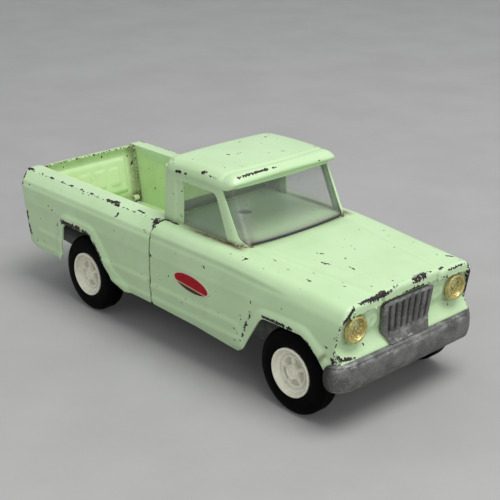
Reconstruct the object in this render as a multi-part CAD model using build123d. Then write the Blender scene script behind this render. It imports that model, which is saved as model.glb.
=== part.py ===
from build123d import *
import os

os.makedirs("parts", exist_ok=True)

# ---------------------------------------------------------------- driving sizes, mm
# Frame: +X is the front of the truck, +Y its left side, +Z up.
# The origin lies on the floor under the middle of the truck.
SHEET = 0.9                 # pressed steel
X_REAR = -114.5             # rear end of the bed rails
X_FRONT = 114.5             # front of the bumper
BODY_HALF = 43.0            # widest half width of doors and bed
BELT_Z = 59.6               # bed rails and cab deck
BELT_HALF = 35.8            # where rails and door shoulders turn down

SEAM_X = -4.5               # joint between cab and bed
SEAM_GAP = 1.2
COWL_X = 46.0               # foot of the windshield
LIP_X = 111.7               # front lip of the hood
LIP_Z = 54.7
LIP_HALF = 36.5
NOSE_HALF = 41.0            # half width of the fenders at the lip
LIP_FOOT = 50.2             # lower edge of the turned down lip
DECK_HOLE_X = 12.0
DECK_HOLE_R = 3.7

AXLE_Z = 18.8
FRONT_AXLE_X = 84.8
REAR_AXLE_X = -57.2
AXLE_R = 1.6
AXLE_HALF = 40.6
BEARING_R = 1.65            # axle holes in the chassis
TYRE_R = 18.8
TYRE_OUT = 41.8             # outer face of a tyre
TYRE_IN = 31.2
SEAT_R = 9.6                # tyre seat on the wheel
RIM_R = 10.7

CHASSIS_HALF = 26.5
CHASSIS_TOP = 27.2
CHASSIS_FOOT = 14.6
FLOOR_TOP = CHASSIS_TOP + SHEET
LINER_HALF = 29.3           # inside of the bed walls
BED_FRONT_X = SEAM_X - SEAM_GAP

GATE_HALF = 28.9
GATE_LEAN = 9.5             # degrees that the closed tailgate leans back
GATE_HIGH = 29.8            # tailgate height above its hinge axis
GATE_DEEP = 3.8
HINGE_X = -106.4
HINGE_Z = 30.2
PIN_R = 1.0
PIN_HOLE_R = 1.08
FIELD_RISE = 1.3            # field of the tailgate, raised into the bed

GREEN_FOOT_HALF = 33.0      # upper cab at the deck
GREEN_TOP_HALF = 32.2       # upper cab under the roof
GREEN_REAR_X = -8.0
ROOF_Z = 90.0

BUMPER_LOW = 19.0
BUMPER_TOP = 31.5
BUMPER_HALF = 44.5
BUMPER_END_X = 104.5
BUMPER_DEEP = 3.0

LENS_R = 6.2
LENS_Y = 31.0
LENS_Z = 43.8
PANEL_HALF = 38.0           # front panel, fits between the fenders
BOSS_Y = 20.0               # plain bosses pressed in the front panel
BOSS_Z = 43.6

DOOR_SHOULDER_Z = 52.6      # crease under the shoulder of doors and bed
NOSE_SHOULDER_Z = 49.6
SECTION_FOOT = 14.0         # body sections are drawn down to here, then trimmed
REACH = 60.0                # half width of tools that cut right across the truck
ARCH_BASE = 12.0            # arches are cut from well below the sills
ARCH_CORNER = 4.0
ARCH_ROOT = 33.0            # arches cut the sides only outside this half width
FLARE = 4.2                 # width of the raised band round each arch
FLARE_OUT = 0.8

EAVE_Z = 83.0               # pillars below, roof pressing above
GREEN_CORNER = 4.0
VISOR_X = 41.3              # front of the roof
PILLAR_FOOT_X = 46.6        # front of the upper cab at the deck
PILLAR_EAVE_X = 36.2
WINDSHIELD_HALF = 28.6
REAR_WINDOW_HALF = 22.0
GLASS_GAP = 0.1             # clearance of the clear moulding
GLASS_THICK = 1.2
TAB_HALF = 2.8              # tongues of the roof pressing through the deck
TAB_SLOT_HALF = 3.4
TAB_SLOT_WIDE = 0.75
ROOF_TABS = [(2.0, 31.6), (34.0, 31.6), (2.0, -31.6), (34.0, -31.6)]

RIVET_R = 1.5
RIVET_HEAD = 1.0            # how far a head stands out round the shank
CAB_RIVET_X = 0.5
CAB_RIVETS_Y = (-16.0, 16.0)
BED_RIVETS = [(-22.0, -16.0), (-22.0, 16.0), (-90.0, -16.0), (-90.0, 16.0)]
NOSE_RIVET_X = 101.5
NOSE_RIVETS_Y = (-14.0, 14.0)

BUMPER_STUDS_Y = (-18.0, 18.0)
BUMPER_STUD_Z = 24.5
BUMPER_STUD_R = 1.5
BUMPER_FILLET = 2.4
PLATE_HALF = 13.0           # blank raised plate on the bumper
GRILLE_TOP_HALF = 15.5
GRILLE_KINK_HALF = 14.2
GRILLE_FOOT_HALF = 12.0
GRILLE_KINK_Z = 38.2
GRILLE_GROOVES = 7

EMBLEM_X = 24.3
EMBLEM_Z = 39.4
EMBLEM_LONG = 11.8
EMBLEM_HIGH = 4.4
EMBLEM_THICK = 0.3

FIELD_HALF = 23.0           # raised field inside the tailgate
FIELD_LOW = 4.5
FIELD_HIGH = 24.5
PADS_Y = (-14.4, -4.8, 4.8, 14.4)    # plain raised pads on the field
PAD_HALF = 3.4
PAD_LOW = 9.5
PAD_HIGH = 19.5
PAD_RISE = 0.5
KNUCKLE_R = 1.75
KNUCKLE_IN = 24.6

HUB_R = 4.0                 # barrel of a wheel round its axle
SPOKES = 5
SPOKE_HALF = 0.9

REAR_ARCH = [
    (-76.6, ARCH_BASE),
    (-73.8, 41.4),
    (-50.5, 41.2),
    (-34.5, 22.5),
    (-28.0, ARCH_BASE),
]
FRONT_ARCH = [
    (53.0, ARCH_BASE),
    (66.6, 38.8),
    (92.0, 38.8),
    (101.5, 30.2),
    (110.0, ARCH_BASE),
]
SIDE_WINDOW = [(6.5, BELT_Z + 1.2), (6.5, 80.2), (24.6, 80.2), (27.4, 78.4), (35.8, BELT_Z + 1.2)]


# ---------------------------------------------------------------- helpers
def save(shape, name):
    """Write one node; several solids go into one compound."""
    solids = list(shape.solids())
    body = solids[0] if len(solids) == 1 else Compound(children=solids)
    export_step(body, f"parts/{name}.step")


def box(x0, x1, y0, y1, z0, z1):
    centre = ((x0 + x1) / 2, (y0 + y1) / 2, (z0 + z1) / 2)
    return Pos(*centre) * Box(x1 - x0, y1 - y0, z1 - z0)


def along_y(face, y0, y1):
    """Extrude a face drawn in the plane y = 0 from y0 to y1."""
    return Pos(0, y0, 0) * extrude(face, amount=y1 - y0, dir=(0, 1, 0))


def outline_xz(points):
    """A face in the plane y = 0 from points given as (x, z)."""
    return make_face(Polyline(*[(x, 0, z) for x, z in points], close=True))


def side_prism(points, y0, y1):
    return along_y(outline_xz(points), y0, y1)


def section_face(points, x):
    """A face across the truck at x from points given as (y, z)."""
    return make_face(Polyline(*[(x, y, z) for y, z in points], close=True))


def rod_y(x, z, radius, y0, y1):
    return Pos(x, (y0 + y1) / 2, z) * Rot(90, 0, 0) * Cylinder(radius, y1 - y0)


def rod_z(x, y, radius, z0, z1):
    return Pos(x, y, (z0 + z1) / 2) * Cylinder(radius, z1 - z0)


def rod_x(y, z, radius, x0, x1):
    return Pos((x0 + x1) / 2, y, z) * Rot(0, 90, 0) * Cylinder(radius, x1 - x0)


def turned_about_x(profile, y, z):
    """Turn a profile of (x, radius) about a line along the truck."""
    face = make_face(Polyline(*[(x, y, z + r) for x, r in profile], close=True))
    return revolve(face, Axis((0, y, z), (1, 0, 0)), 360)


def on_both_sides(shape):
    return shape + mirror(shape, about=Plane.XZ)


# ---------------------------------------------------------------- body side shape
def side_points(half, shoulder_z, top_half, top_z, foot_z, inset=0.0):
    """Right hand half of the body section, from the sill up to the top, as (y, z)."""
    w = half - inset
    return [
        (w - 4.0, foot_z),
        (w - 1.2, 23.6),
        (w - 0.5, 30.4),
        (w, 34.0),
        (w, 45.2),
        (w - 0.9, shoulder_z - inset * 0.4),
        (w - 2.9, shoulder_z + (top_z - shoulder_z) * 0.60 - inset * 0.7),
        (top_half, top_z - inset),
    ]


def body_section(half, shoulder_z, top_half, top_z, foot_z, x, inset=0.0):
    """Closed section over both sides, open ground line at the sill."""
    right = side_points(half, shoulder_z, top_half, top_z, foot_z, inset)
    left = [(-y, z) for y, z in reversed(right)]
    return section_face(right + left, x)


def body_block(inset, x_rear, x_front, foot_z):
    """The cab below the belt as a solid: doors of constant section, then the hood."""
    door = body_section(BODY_HALF, DOOR_SHOULDER_Z, BELT_HALF, BELT_Z, foot_z, COWL_X, inset)
    door_rear = body_section(BODY_HALF, DOOR_SHOULDER_Z, BELT_HALF, BELT_Z, foot_z, x_rear, inset)
    nose = body_section(NOSE_HALF, NOSE_SHOULDER_Z, LIP_HALF, LIP_Z, foot_z, x_front, inset)
    return loft([door_rear, door], ruled=True) + loft([door, nose], ruled=True)


# ---------------------------------------------------------------- wheel arches
def arch_face(points):
    """An arch opening in side view, its corners rounded."""
    path = [(x, 0, z) for x, z in points]
    return make_face(FilletPolyline(*path, radius=ARCH_CORNER, close=True))


def arch_cut(points):
    """Tool for the opening in the left side."""
    return along_y(arch_face(points), ARCH_ROOT, REACH)


def flare_band(points):
    """Prism over the band round the left opening, which the body skin is raised in."""
    grown = offset(arch_face(points), amount=FLARE, kind=Kind.ARC)
    return along_y(grown, ARCH_ROOT + 1, REACH - 1) - arch_cut(points)


# ---------------------------------------------------------------- cab body
def sill_trim():
    """Everything under the sill line, which drops towards the front arch."""
    foot = [(-10, 20.6), (22, 19.4), (55, 16.6), (100, 16.6), (104, 23.0), (125, 23.0), (125, 0), (-10, 0)]
    return side_prism(foot, -REACH, REACH)


def nose_opening():
    """Space in front of the fender edges, under the lip of the hood."""
    edge = [
        (125, LIP_FOOT),
        (111.5, LIP_FOOT),
        (109.0, 40.5),
        (107.9, 36.4),
        (108.6, 32.6),
        (107.0, 31.9),
        (107.0, 10),
        (125, 10),
    ]
    return side_prism(edge, -REACH, REACH)


def cab_body():
    """Doors, deck, hood and fenders, one pressing riveted to the chassis."""
    outer = body_block(0.0, SEAM_X, LIP_X, SECTION_FOOT)
    inner = body_block(SHEET, SEAM_X + SHEET, LIP_X - 1.2, SECTION_FOOT - 0.1)
    shell = outer - inner - nose_opening()
    shell -= box(60, LIP_X + 1, -39.6, 39.6, 10, LIP_FOOT)
    shell -= box(SEAM_X - 1, SEAM_X + 2, -REACH, REACH, 0, CHASSIS_TOP)
    shell -= on_both_sides(arch_cut(FRONT_ARCH))
    raised = body_block(-FLARE_OUT, SEAM_X, LIP_X, SECTION_FOOT) - inner
    flare = raised & flare_band(FRONT_ARCH) & box(40, 102.0, 0, REACH, 10, 48)
    shell += on_both_sides(flare)
    shell -= sill_trim()
    flange = box(SEAM_X, SEAM_X + 9, -24, 24, CHASSIS_TOP, FLOOR_TOP)
    shell += flange
    shell -= rod_z(DECK_HOLE_X, 0, DECK_HOLE_R, 55, 65)
    for x, y in ROOF_TABS:
        shell -= box(x - TAB_SLOT_HALF, x + TAB_SLOT_HALF, y - TAB_SLOT_WIDE, y + TAB_SLOT_WIDE, 55, 65)
    for y in CAB_RIVETS_Y:
        shell -= rod_z(CAB_RIVET_X, y, RIVET_R, 20, 35)
    return shell


# ---------------------------------------------------------------- upper cab
def rounded_plan(x0, x1, half, corner, z):
    """Rounded rectangle lying flat at height z."""
    return Pos((x0 + x1) / 2, 0, z) * RectangleRounded(x1 - x0, 2 * half, corner)


def pillar_block(t):
    """Upper cab from the deck to the eaves; its front follows the windshield."""
    foot_z = BELT_Z - 1.0 * (t > 0)
    rear, corner = GREEN_REAR_X + t, GREEN_CORNER - t
    foot = rounded_plan(rear, PILLAR_FOOT_X - t * 1.1, GREEN_FOOT_HALF - t, corner, foot_z)
    eave = rounded_plan(rear + 1, PILLAR_EAVE_X - t * 1.1, GREEN_TOP_HALF - t, corner, EAVE_Z)
    return loft([foot, eave], ruled=True)


def roof_block(t):
    """Roof pressing with its visor, crowned both ways."""
    rear = GREEN_REAR_X + 1
    side = [
        (rear + t, EAVE_Z - 0.5 * (t > 0)),
        (rear + 0.3 + t, 85.0),
        (rear + 1.6 + t, 87.4 - t * 0.4),
        (rear + 5.5 + t, 89.3 - t),
        (16.0, ROOF_Z - t),
        (36.6 - t * 0.6, 89.3 - t),
        (40.6 - t, 87.6 - t * 0.5),
        (41.2 - t, 86.0),
        (40.4 - t, 85.2 + t * 0.8),
        (36.6 - t, 83.6 + t * 0.8),
        (PILLAR_EAVE_X - t, EAVE_Z - 0.5 * (t > 0)),
    ]
    right = [
        (GREEN_TOP_HALF - t, EAVE_Z - 1),
        (GREEN_TOP_HALF + 0.4 - t, 84.5),
        (GREEN_TOP_HALF - 1.2 - t * 0.8, 87.4 - t * 0.4),
        (GREEN_TOP_HALF - 4.5 - t * 0.4, 89.0 - t),
        (12.0, ROOF_Z - t),
    ]
    front = right + [(-y, z) for y, z in reversed(right)]
    block = side_prism(side, -40, 40) & extrude(section_face(front, -20), amount=80, dir=(1, 0, 0))
    plan = rounded_plan(rear + t, VISOR_X - t, GREEN_TOP_HALF + 0.5 - t, GREEN_CORNER + 1.5 - t, 80)
    return block & extrude(plan, amount=12, dir=(0, 0, 1))


def green_block(t):
    return pillar_block(t) + roof_block(t)


def windshield_cut():
    """Opening between the front pillars, following the slope of the glass."""
    pane = [(38.5, BELT_Z - 2), (29.2, 83.2), (42.0, 83.2), (REACH, BELT_Z - 2)]
    return side_prism(pane, -WINDSHIELD_HALF, WINDSHIELD_HALF)


def cab_roof():
    """Roof and pillars, one pressing held by tongues through the deck."""
    shell = green_block(0.0) - green_block(SHEET)
    shell -= side_prism(SIDE_WINDOW, -40, 40)
    shell -= windshield_cut()
    shell -= box(GREEN_REAR_X - 2, GREEN_REAR_X + 4, -REAR_WINDOW_HALF, REAR_WINDOW_HALF, 64.5, 81.0)
    for x, y in ROOF_TABS:
        shell += box(x - TAB_HALF, x + TAB_HALF, y - SHEET / 2, y + SHEET / 2, BELT_Z - 3.4, BELT_Z + 1.0)
    return shell


def cab_glazing():
    """One clear moulding behind the windows, close inside the upper cab."""
    outer = pillar_block(SHEET + GLASS_GAP)
    inner = pillar_block(SHEET + GLASS_GAP + GLASS_THICK)
    ring = (outer - inner) & box(-20, REACH, -40, 40, BELT_Z + GLASS_GAP, EAVE_Z - 0.6)
    for x, y in ROOF_TABS:
        ring -= box(x - 3.2, x + 3.2, y - 0.85, y + 0.85, BELT_Z - 1, BELT_Z + 1.4)
    return ring


# ---------------------------------------------------------------- nose
def panel_profile(offset_x):
    """Front panel in side view as (x, z), moved back by offset_x."""
    return [
        (109.5 - offset_x, LIP_FOOT + 2.6),
        (108.6 - offset_x, 39.4),
        (108.2 - offset_x, 37.6),
        (110.3 - offset_x, 31.2),
        (109.6 - offset_x, 20.0),
    ]


def front_panel():
    """Upright panel with its sloping foot, held by a flange on the chassis."""
    face = panel_profile(0.0)
    back = panel_profile(SHEET)
    panel = side_prism(face + back[::-1], -PANEL_HALF, PANEL_HALF)
    panel &= body_block(SHEET + 0.2, 60, LIP_X + 2, SECTION_FOOT)
    panel += box(96.5, 109.5, -20, 20, CHASSIS_TOP, FLOOR_TOP)
    for y in (LENS_Y, -LENS_Y):
        panel -= rod_x(y, LENS_Z, LENS_R - 0.9, 100, 115)
    for y in (BOSS_Y, -BOSS_Y):
        panel += turned_about_x([(108.2, 0), (108.2, 4.3), (109.1, 4.3), (109.6, 2.6), (109.8, 0)], y, BOSS_Z)
    for y in BUMPER_STUDS_Y:
        panel -= rod_x(y, BUMPER_STUD_Z, BUMPER_STUD_R + 0.1, 105, 115)
    for y in NOSE_RIVETS_Y:
        panel -= rod_z(NOSE_RIVET_X, y, RIVET_R, 20, 35)
    return panel


def radiator_grille():
    """Cast grille that hooks over the step of the front panel."""
    side = [
        (111.6, LIP_FOOT - 0.4),
        (110.7, 38.4),
        (112.6, 32.3),
        (110.4, 31.8),
        (108.35, 37.6),
        (108.75, 39.4),
        (109.5, LIP_FOOT - 0.4),
    ]
    front = [
        (-GRILLE_TOP_HALF, 52),
        (-GRILLE_KINK_HALF, GRILLE_KINK_Z),
        (-GRILLE_FOOT_HALF, 30.0),
        (GRILLE_FOOT_HALF, 30.0),
        (GRILLE_KINK_HALF, GRILLE_KINK_Z),
        (GRILLE_TOP_HALF, 52),
    ]
    block = side_prism(side, -20, 20)
    block &= extrude(section_face(front, 100), amount=20, dir=(1, 0, 0))
    pitch = 2 * (GRILLE_KINK_HALF - 1.6) / GRILLE_GROOVES
    for k in range(GRILLE_GROOVES):
        y = (k - (GRILLE_GROOVES - 1) / 2) * pitch
        lean = y / GRILLE_KINK_HALF * 1.3
        slot = [(y - 0.6, GRILLE_KINK_Z + 0.3), (y + 0.6, GRILLE_KINK_Z + 0.3)]
        slot += [(y + lean + 0.6, 48.2), (y + lean - 0.6, 48.2)]
        groove = extrude(section_face(slot, 109.2), amount=5, dir=(1, 0, 0))
        block -= groove & side_prism([(109.9, 49), (109.3, 38.0), (115, 38.0), (115, 49)], -20, 20)
    return block


def bumper_plan(inset):
    """Bumper seen from above as a face at the lower edge."""
    t = inset
    right = Polyline((BUMPER_END_X, -(BUMPER_HALF - t), 0), (106.4, -(BUMPER_HALF - t), 0))
    corner = ThreePointArc(
        (106.4, -(BUMPER_HALF - t), 0),
        (111.6 - t * 0.7, -(42.3 - t * 0.7), 0),
        (113.8 - t, -37.0, 0),
    )
    front = ThreePointArc((113.8 - t, -37.0, 0), (X_FRONT - t, 0, 0), (113.8 - t, 37.0, 0))
    half = [right, corner, front]
    half += [mirror(corner, about=Plane.XZ), mirror(right, about=Plane.XZ)]
    closing = Polyline((BUMPER_END_X, BUMPER_HALF - t, 0), (BUMPER_END_X, -(BUMPER_HALF - t), 0))
    return make_face(half + [closing])


def front_bumper():
    """Cast bumper bar, hollow behind, with two studs through the front panel."""
    height = BUMPER_TOP - BUMPER_LOW
    outer = Pos(0, 0, BUMPER_LOW) * extrude(bumper_plan(0.0), amount=height, dir=(0, 0, 1))
    rounded = outer.edges().filter_by(
        lambda e: e.center().X > BUMPER_END_X + 0.1 and e.bounding_box().size.Z < 0.01
    )
    outer = fillet(rounded, BUMPER_FILLET)
    inner = Pos(0, 0, BUMPER_LOW - 1) * extrude(bumper_plan(BUMPER_DEEP), amount=height + 2, dir=(0, 0, 1))
    bar = outer - inner
    bar += box(111.6, X_FRONT, -PLATE_HALF, PLATE_HALF, BUMPER_LOW + 2.4, BUMPER_TOP - 2.6)
    for y in BUMPER_STUDS_Y:
        bar += rod_x(y, BUMPER_STUD_Z, BUMPER_STUD_R, 107.5, 112.5)
    return bar


def headlight_lens(side):
    """Faceted lens with a collar in front and a spigot through the panel."""
    y = side * LENS_Y
    profile = [
        (106.0, 0),
        (106.0, LENS_R - 1.0),
        (109.5, LENS_R - 1.0),
        (109.5, LENS_R),
        (110.2, LENS_R),
        (111.0, LENS_R - 1.1),
        (111.7, LENS_R - 3.2),
        (111.9, 0),
    ]
    return turned_about_x(profile, y, LENS_Z)


# ---------------------------------------------------------------- door emblems
def door_emblem(side):
    """Blank oval plate stuck on the flat of the door."""
    oval = Pos(EMBLEM_X, BODY_HALF, EMBLEM_Z) * Rot(90, 0, 0) * Ellipse(EMBLEM_LONG, EMBLEM_HIGH)
    plate = extrude(oval, amount=EMBLEM_THICK, dir=(0, 1, 0))
    return plate if side > 0 else mirror(plate, about=Plane.XZ)


# ---------------------------------------------------------------- bed
def bed_outline(inset):
    """Side view of a bed side: leaning rear edge, kicked up rear corner."""
    t = inset
    return [
        (X_REAR + t, BELT_Z + 1),
        (X_REAR + t, BELT_Z),
        (-113.2 + t, 57.0),
        (-111.2 + t, 52.0),
        (-108.6 + t, 39.0),
        (-107.4 + t, 30.0),
        (-107.2 + t, 25.0),
        (-103.5 + t, 21.6 - 10 * (t > 0)),
        (-83.0, 19.2 - 10 * (t > 0)),
        (-20.0, 19.2 - 10 * (t > 0)),
        (BED_FRONT_X + 2 * t, 20.6 - 10 * (t > 0)),
        (BED_FRONT_X + 2 * t, BELT_Z + 1),
    ]


def bed_side(side):
    """Outer skin with rolled rail, closed at the tailgate end."""
    inner_face = LINER_HALF + SHEET
    outer_pts = side_points(BODY_HALF, DOOR_SHOULDER_Z, BELT_HALF, BELT_Z, SECTION_FOOT)
    outer_pts = [(inner_face, SECTION_FOOT)] + outer_pts + [(inner_face, BELT_Z)]
    inner_pts = side_points(BODY_HALF, DOOR_SHOULDER_Z, BELT_HALF, BELT_Z, SECTION_FOOT - 2, SHEET)
    inner_pts = [(20, SECTION_FOOT - 2)] + inner_pts
    inner_pts += [(inner_face + SHEET, BELT_Z - SHEET), (inner_face + SHEET, BELT_Z - 3.0), (20, BELT_Z - 3.0)]
    outer = extrude(section_face(outer_pts, -130), amount=140, dir=(1, 0, 0))
    outer &= side_prism(bed_outline(0.0), 0, REACH)
    inner = extrude(section_face(inner_pts, -130), amount=140, dir=(1, 0, 0))
    inner &= side_prism(bed_outline(SHEET), 0, REACH)
    skin = outer - inner
    skin -= arch_cut(REAR_ARCH)
    raised_pts = side_points(BODY_HALF, DOOR_SHOULDER_Z, BELT_HALF, BELT_Z, SECTION_FOOT, -FLARE_OUT)
    raised_pts = [(inner_face, SECTION_FOOT)] + raised_pts + [(inner_face, BELT_Z)]
    raised = extrude(section_face(raised_pts, -95), amount=80, dir=(1, 0, 0)) - inner
    skin += raised & flare_band(REAR_ARCH) & side_prism(bed_outline(0.0), 30, REACH)
    return skin if side > 0 else mirror(skin, about=Plane.XZ)


def bed_liner():
    """Floor, side walls and front wall of the load bed, one pressing."""
    rear = HINGE_X + 3.2
    front = BED_FRONT_X
    out = LINER_HALF + SHEET
    wall = [
        (-111.6, BELT_Z),
        (-105.0, 34.0),
        (-108.6, 33.0),
        (-108.6, CHASSIS_TOP),
        (front, CHASSIS_TOP),
        (front, BELT_Z),
    ]
    liner = side_prism(wall, -out, out)
    liner -= box(-130, front - SHEET, -LINER_HALF, LINER_HALF, FLOOR_TOP, 80)
    liner -= box(-130, rear, -LINER_HALF, LINER_HALF, 0, 80)
    liner += box(rear, rear + SHEET, -LINER_HALF, LINER_HALF, 21.0, FLOOR_TOP)
    liner -= rod_y(HINGE_X, HINGE_Z, PIN_HOLE_R, -REACH, REACH)
    for x, y in BED_RIVETS:
        liner -= rod_z(x, y, RIVET_R, 20, 35)
    return liner


# ---------------------------------------------------------------- tailgate
def gate_place(shape):
    """Lean a tailgate piece back about the hinge line."""
    return Pos(HINGE_X, 0, HINGE_Z) * Rot(0, -GATE_LEAN, 0) * shape


def tailgate():
    """Pressed panel with a folded rim and a field that stands into the bed, with plain pads."""
    back = -GATE_DEEP / 2
    skin = back + SHEET
    gate = box(back, -back, -GATE_HALF, GATE_HALF, back, GATE_HIGH)
    gate -= box(skin, 5, -GATE_HALF + SHEET, GATE_HALF - SHEET, skin, GATE_HIGH - SHEET)
    gate += box(skin, skin + FIELD_RISE, -FIELD_HALF, FIELD_HALF, FIELD_LOW, FIELD_HIGH)
    hollow = FIELD_HALF - SHEET
    gate -= box(back - 1, back + FIELD_RISE, -hollow, hollow, FIELD_LOW + SHEET, FIELD_HIGH - SHEET)
    for y in PADS_Y:
        gate += box(skin, skin + FIELD_RISE + PAD_RISE, y - PAD_HALF, y + PAD_HALF, PAD_LOW, PAD_HIGH)
    gate += on_both_sides(rod_y(0, 0, KNUCKLE_R, KNUCKLE_IN, GATE_HALF))
    gate -= rod_y(0, 0, PIN_R, -REACH, REACH)
    return gate_place(gate)


def tailgate_hinge_pins():
    """Pins pressed in the tailgate that turn in the bed walls."""
    pin = rod_y(HINGE_X, HINGE_Z, PIN_R, KNUCKLE_IN + 0.4, LINER_HALF + SHEET)
    return on_both_sides(pin)


# ---------------------------------------------------------------- running gear
def chassis_frame():
    """Channel under cab and bed, with deep cheeks that carry the axles."""
    x0, x1 = -100.0, 104.0
    foot = [
        (x0, CHASSIS_TOP),
        (x0, 21.0),
        (REAR_AXLE_X - 14, 19.0),
        (REAR_AXLE_X - 9, CHASSIS_FOOT),
        (REAR_AXLE_X + 9, CHASSIS_FOOT),
        (REAR_AXLE_X + 14, 17.6),
        (FRONT_AXLE_X - 14, 17.6),
        (FRONT_AXLE_X - 9, CHASSIS_FOOT),
        (FRONT_AXLE_X + 9, CHASSIS_FOOT),
        (FRONT_AXLE_X + 14, 19.0),
        (x1, 21.0),
        (x1, CHASSIS_TOP),
    ]
    channel = side_prism(foot, -CHASSIS_HALF, CHASSIS_HALF)
    inside = CHASSIS_HALF - 1.0
    channel -= box(-130, 130, -inside, inside, 0, CHASSIS_TOP - 1.0)
    for x in (FRONT_AXLE_X, REAR_AXLE_X):
        channel -= rod_y(x, AXLE_Z, BEARING_R, -REACH, REACH)
    for x, y in rivet_places():
        channel -= rod_z(x, y, RIVET_R, 20, 35)
    return channel


def rivet_places():
    cab = [(CAB_RIVET_X, y) for y in CAB_RIVETS_Y]
    nose = [(NOSE_RIVET_X, y) for y in NOSE_RIVETS_Y]
    return cab + nose + BED_RIVETS


def body_rivets():
    """Rivets through the chassis and the pressing on it, flush in the bed floor."""
    group = []
    for x, y in rivet_places():
        rivet = rod_z(x, y, RIVET_R, CHASSIS_TOP - 1.0, FLOOR_TOP)
        rivet += rod_z(x, y, RIVET_R + RIVET_HEAD, CHASSIS_TOP - 1.8, CHASSIS_TOP - 1.0)
        if (x, y) not in BED_RIVETS:
            rivet += rod_z(x, y, RIVET_R + RIVET_HEAD, FLOOR_TOP, FLOOR_TOP + 0.7)
        group.append(rivet)
    return Compound(children=group)


def axle(x):
    return rod_y(x, AXLE_Z, AXLE_R, -AXLE_HALF, AXLE_HALF)


def turned(profile, x, side):
    """Turn a profile of (radius, distance from the centre line) about an axle."""
    face = make_face(Polyline(*[(x + r, y, AXLE_Z) for r, y in profile], close=True))
    solid = revolve(face, Axis((x, 0, AXLE_Z), (0, 1, 0)), 360)
    return solid if side > 0 else mirror(solid, about=Plane.XZ)


def tyre(x, side):
    profile = [
        (SEAT_R, TYRE_IN),
        (SEAT_R + 2.0, TYRE_IN),
        (TYRE_R - 2.4, TYRE_IN + 0.3),
        (TYRE_R - 0.6, TYRE_IN + 1.6),
        (TYRE_R, TYRE_IN + 3.2),
        (TYRE_R, TYRE_OUT - 3.2),
        (TYRE_R - 0.6, TYRE_OUT - 1.6),
        (TYRE_R - 2.4, TYRE_OUT - 0.3),
        (RIM_R + 1.8, TYRE_OUT),
        (RIM_R + 0.1, TYRE_OUT - 0.5),
        (RIM_R + 0.1, TYRE_OUT - 1.6),
        (SEAT_R, TYRE_OUT - 1.6),
    ]
    return turned(profile, x, side)


def wheel_hub(x, side):
    """Moulded wheel pressed on the axle: barrel, rim flange, dish and boss."""
    profile = [
        (0.0, TYRE_OUT - 0.4),
        (0.0, TYRE_OUT - 1.0),
        (AXLE_R, TYRE_OUT - 1.2),
        (AXLE_R, CHASSIS_HALF + 0.5),
        (HUB_R, CHASSIS_HALF + 0.5),
        (HUB_R, TYRE_IN + 0.6),
        (SEAT_R, TYRE_IN + 0.6),
        (SEAT_R, TYRE_OUT - 1.6),
        (RIM_R, TYRE_OUT - 1.6),
        (RIM_R, TYRE_OUT + 0.1),
        (RIM_R - 0.5, TYRE_OUT + 0.4),
        (RIM_R - 1.5, TYRE_OUT),
        (RIM_R - 2.4, TYRE_OUT - 3.0),
        (3.4, TYRE_OUT - 3.4),
        (2.8, TYRE_OUT - 0.4),
    ]
    hub = turned(profile, x, 1)
    for k in range(SPOKES):
        spoke = box(2.4, 8.6, -SPOKE_HALF, SPOKE_HALF, 0, 1)
        spoke = Pos(x, 0, AXLE_Z) * Rot(0, 360 / SPOKES * k + 90, 0) * Rot(90, 0, 0) * spoke
        spoke = Pos(0, TYRE_OUT - 1.8, 0) * spoke
        hub += spoke & box(x - 20, x + 20, TYRE_OUT - 3.4, TYRE_OUT - 0.8, 0, 40)
    return hub if side > 0 else mirror(hub, about=Plane.XZ)


# ---------------------------------------------------------------- write the nodes
save(chassis_frame(), "chassis_frame")
save(cab_body(), "cab_body")
save(cab_roof(), "cab_roof")
save(cab_glazing(), "cab_glazing")
save(front_panel(), "front_panel")
save(radiator_grille(), "radiator_grille")
save(front_bumper(), "front_bumper")
save(bed_liner(), "bed_liner")
save(tailgate(), "tailgate")
save(tailgate_hinge_pins(), "tailgate_hinge_pins")
save(body_rivets(), "body_rivets")
for side, side_name in ((1, "left"), (-1, "right")):
    save(headlight_lens(side), f"headlight_lens_{side_name}")
    save(door_emblem(side), f"door_emblem_{side_name}")
    save(bed_side(side), f"bed_side_{side_name}")
for end, end_x in (("front", FRONT_AXLE_X), ("rear", REAR_AXLE_X)):
    save(axle(end_x), f"{end}_axle")
    for side, side_name in ((1, "left"), (-1, "right")):
        save(tyre(end_x, side), f"tyre_{end}_{side_name}")
        save(wheel_hub(end_x, side), f"wheel_{end}_{side_name}")
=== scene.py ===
import math

import bpy
import numpy as np
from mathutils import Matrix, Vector, geometry


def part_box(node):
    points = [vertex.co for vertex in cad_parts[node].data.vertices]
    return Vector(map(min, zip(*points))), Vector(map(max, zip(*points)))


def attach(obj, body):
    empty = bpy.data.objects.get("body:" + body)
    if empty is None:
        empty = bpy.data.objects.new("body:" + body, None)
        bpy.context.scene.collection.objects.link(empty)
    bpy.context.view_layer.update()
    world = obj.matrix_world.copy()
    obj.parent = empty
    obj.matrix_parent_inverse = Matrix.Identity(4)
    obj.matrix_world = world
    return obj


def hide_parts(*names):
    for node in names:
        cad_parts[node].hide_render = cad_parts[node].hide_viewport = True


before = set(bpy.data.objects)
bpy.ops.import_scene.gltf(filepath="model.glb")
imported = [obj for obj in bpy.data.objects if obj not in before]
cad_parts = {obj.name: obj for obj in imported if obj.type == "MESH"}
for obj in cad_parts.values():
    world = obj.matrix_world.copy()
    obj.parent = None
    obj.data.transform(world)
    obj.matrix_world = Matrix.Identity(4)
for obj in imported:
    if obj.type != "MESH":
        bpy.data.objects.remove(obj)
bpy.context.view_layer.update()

# Lengths in this script are millimetres in the shared frame, turned into metres as a mesh is made.
MM = 0.001
SHEET = 0.9                 # thickness of the pressed steel


# ---------------------------------------------------------------- numbers and outlines
def ease(x, low, high):
    """0 below low, 1 above high, smooth between."""
    t = np.clip((x - low) / (high - low), 0, 1)
    return t * t * (3 - 2 * t)


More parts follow.
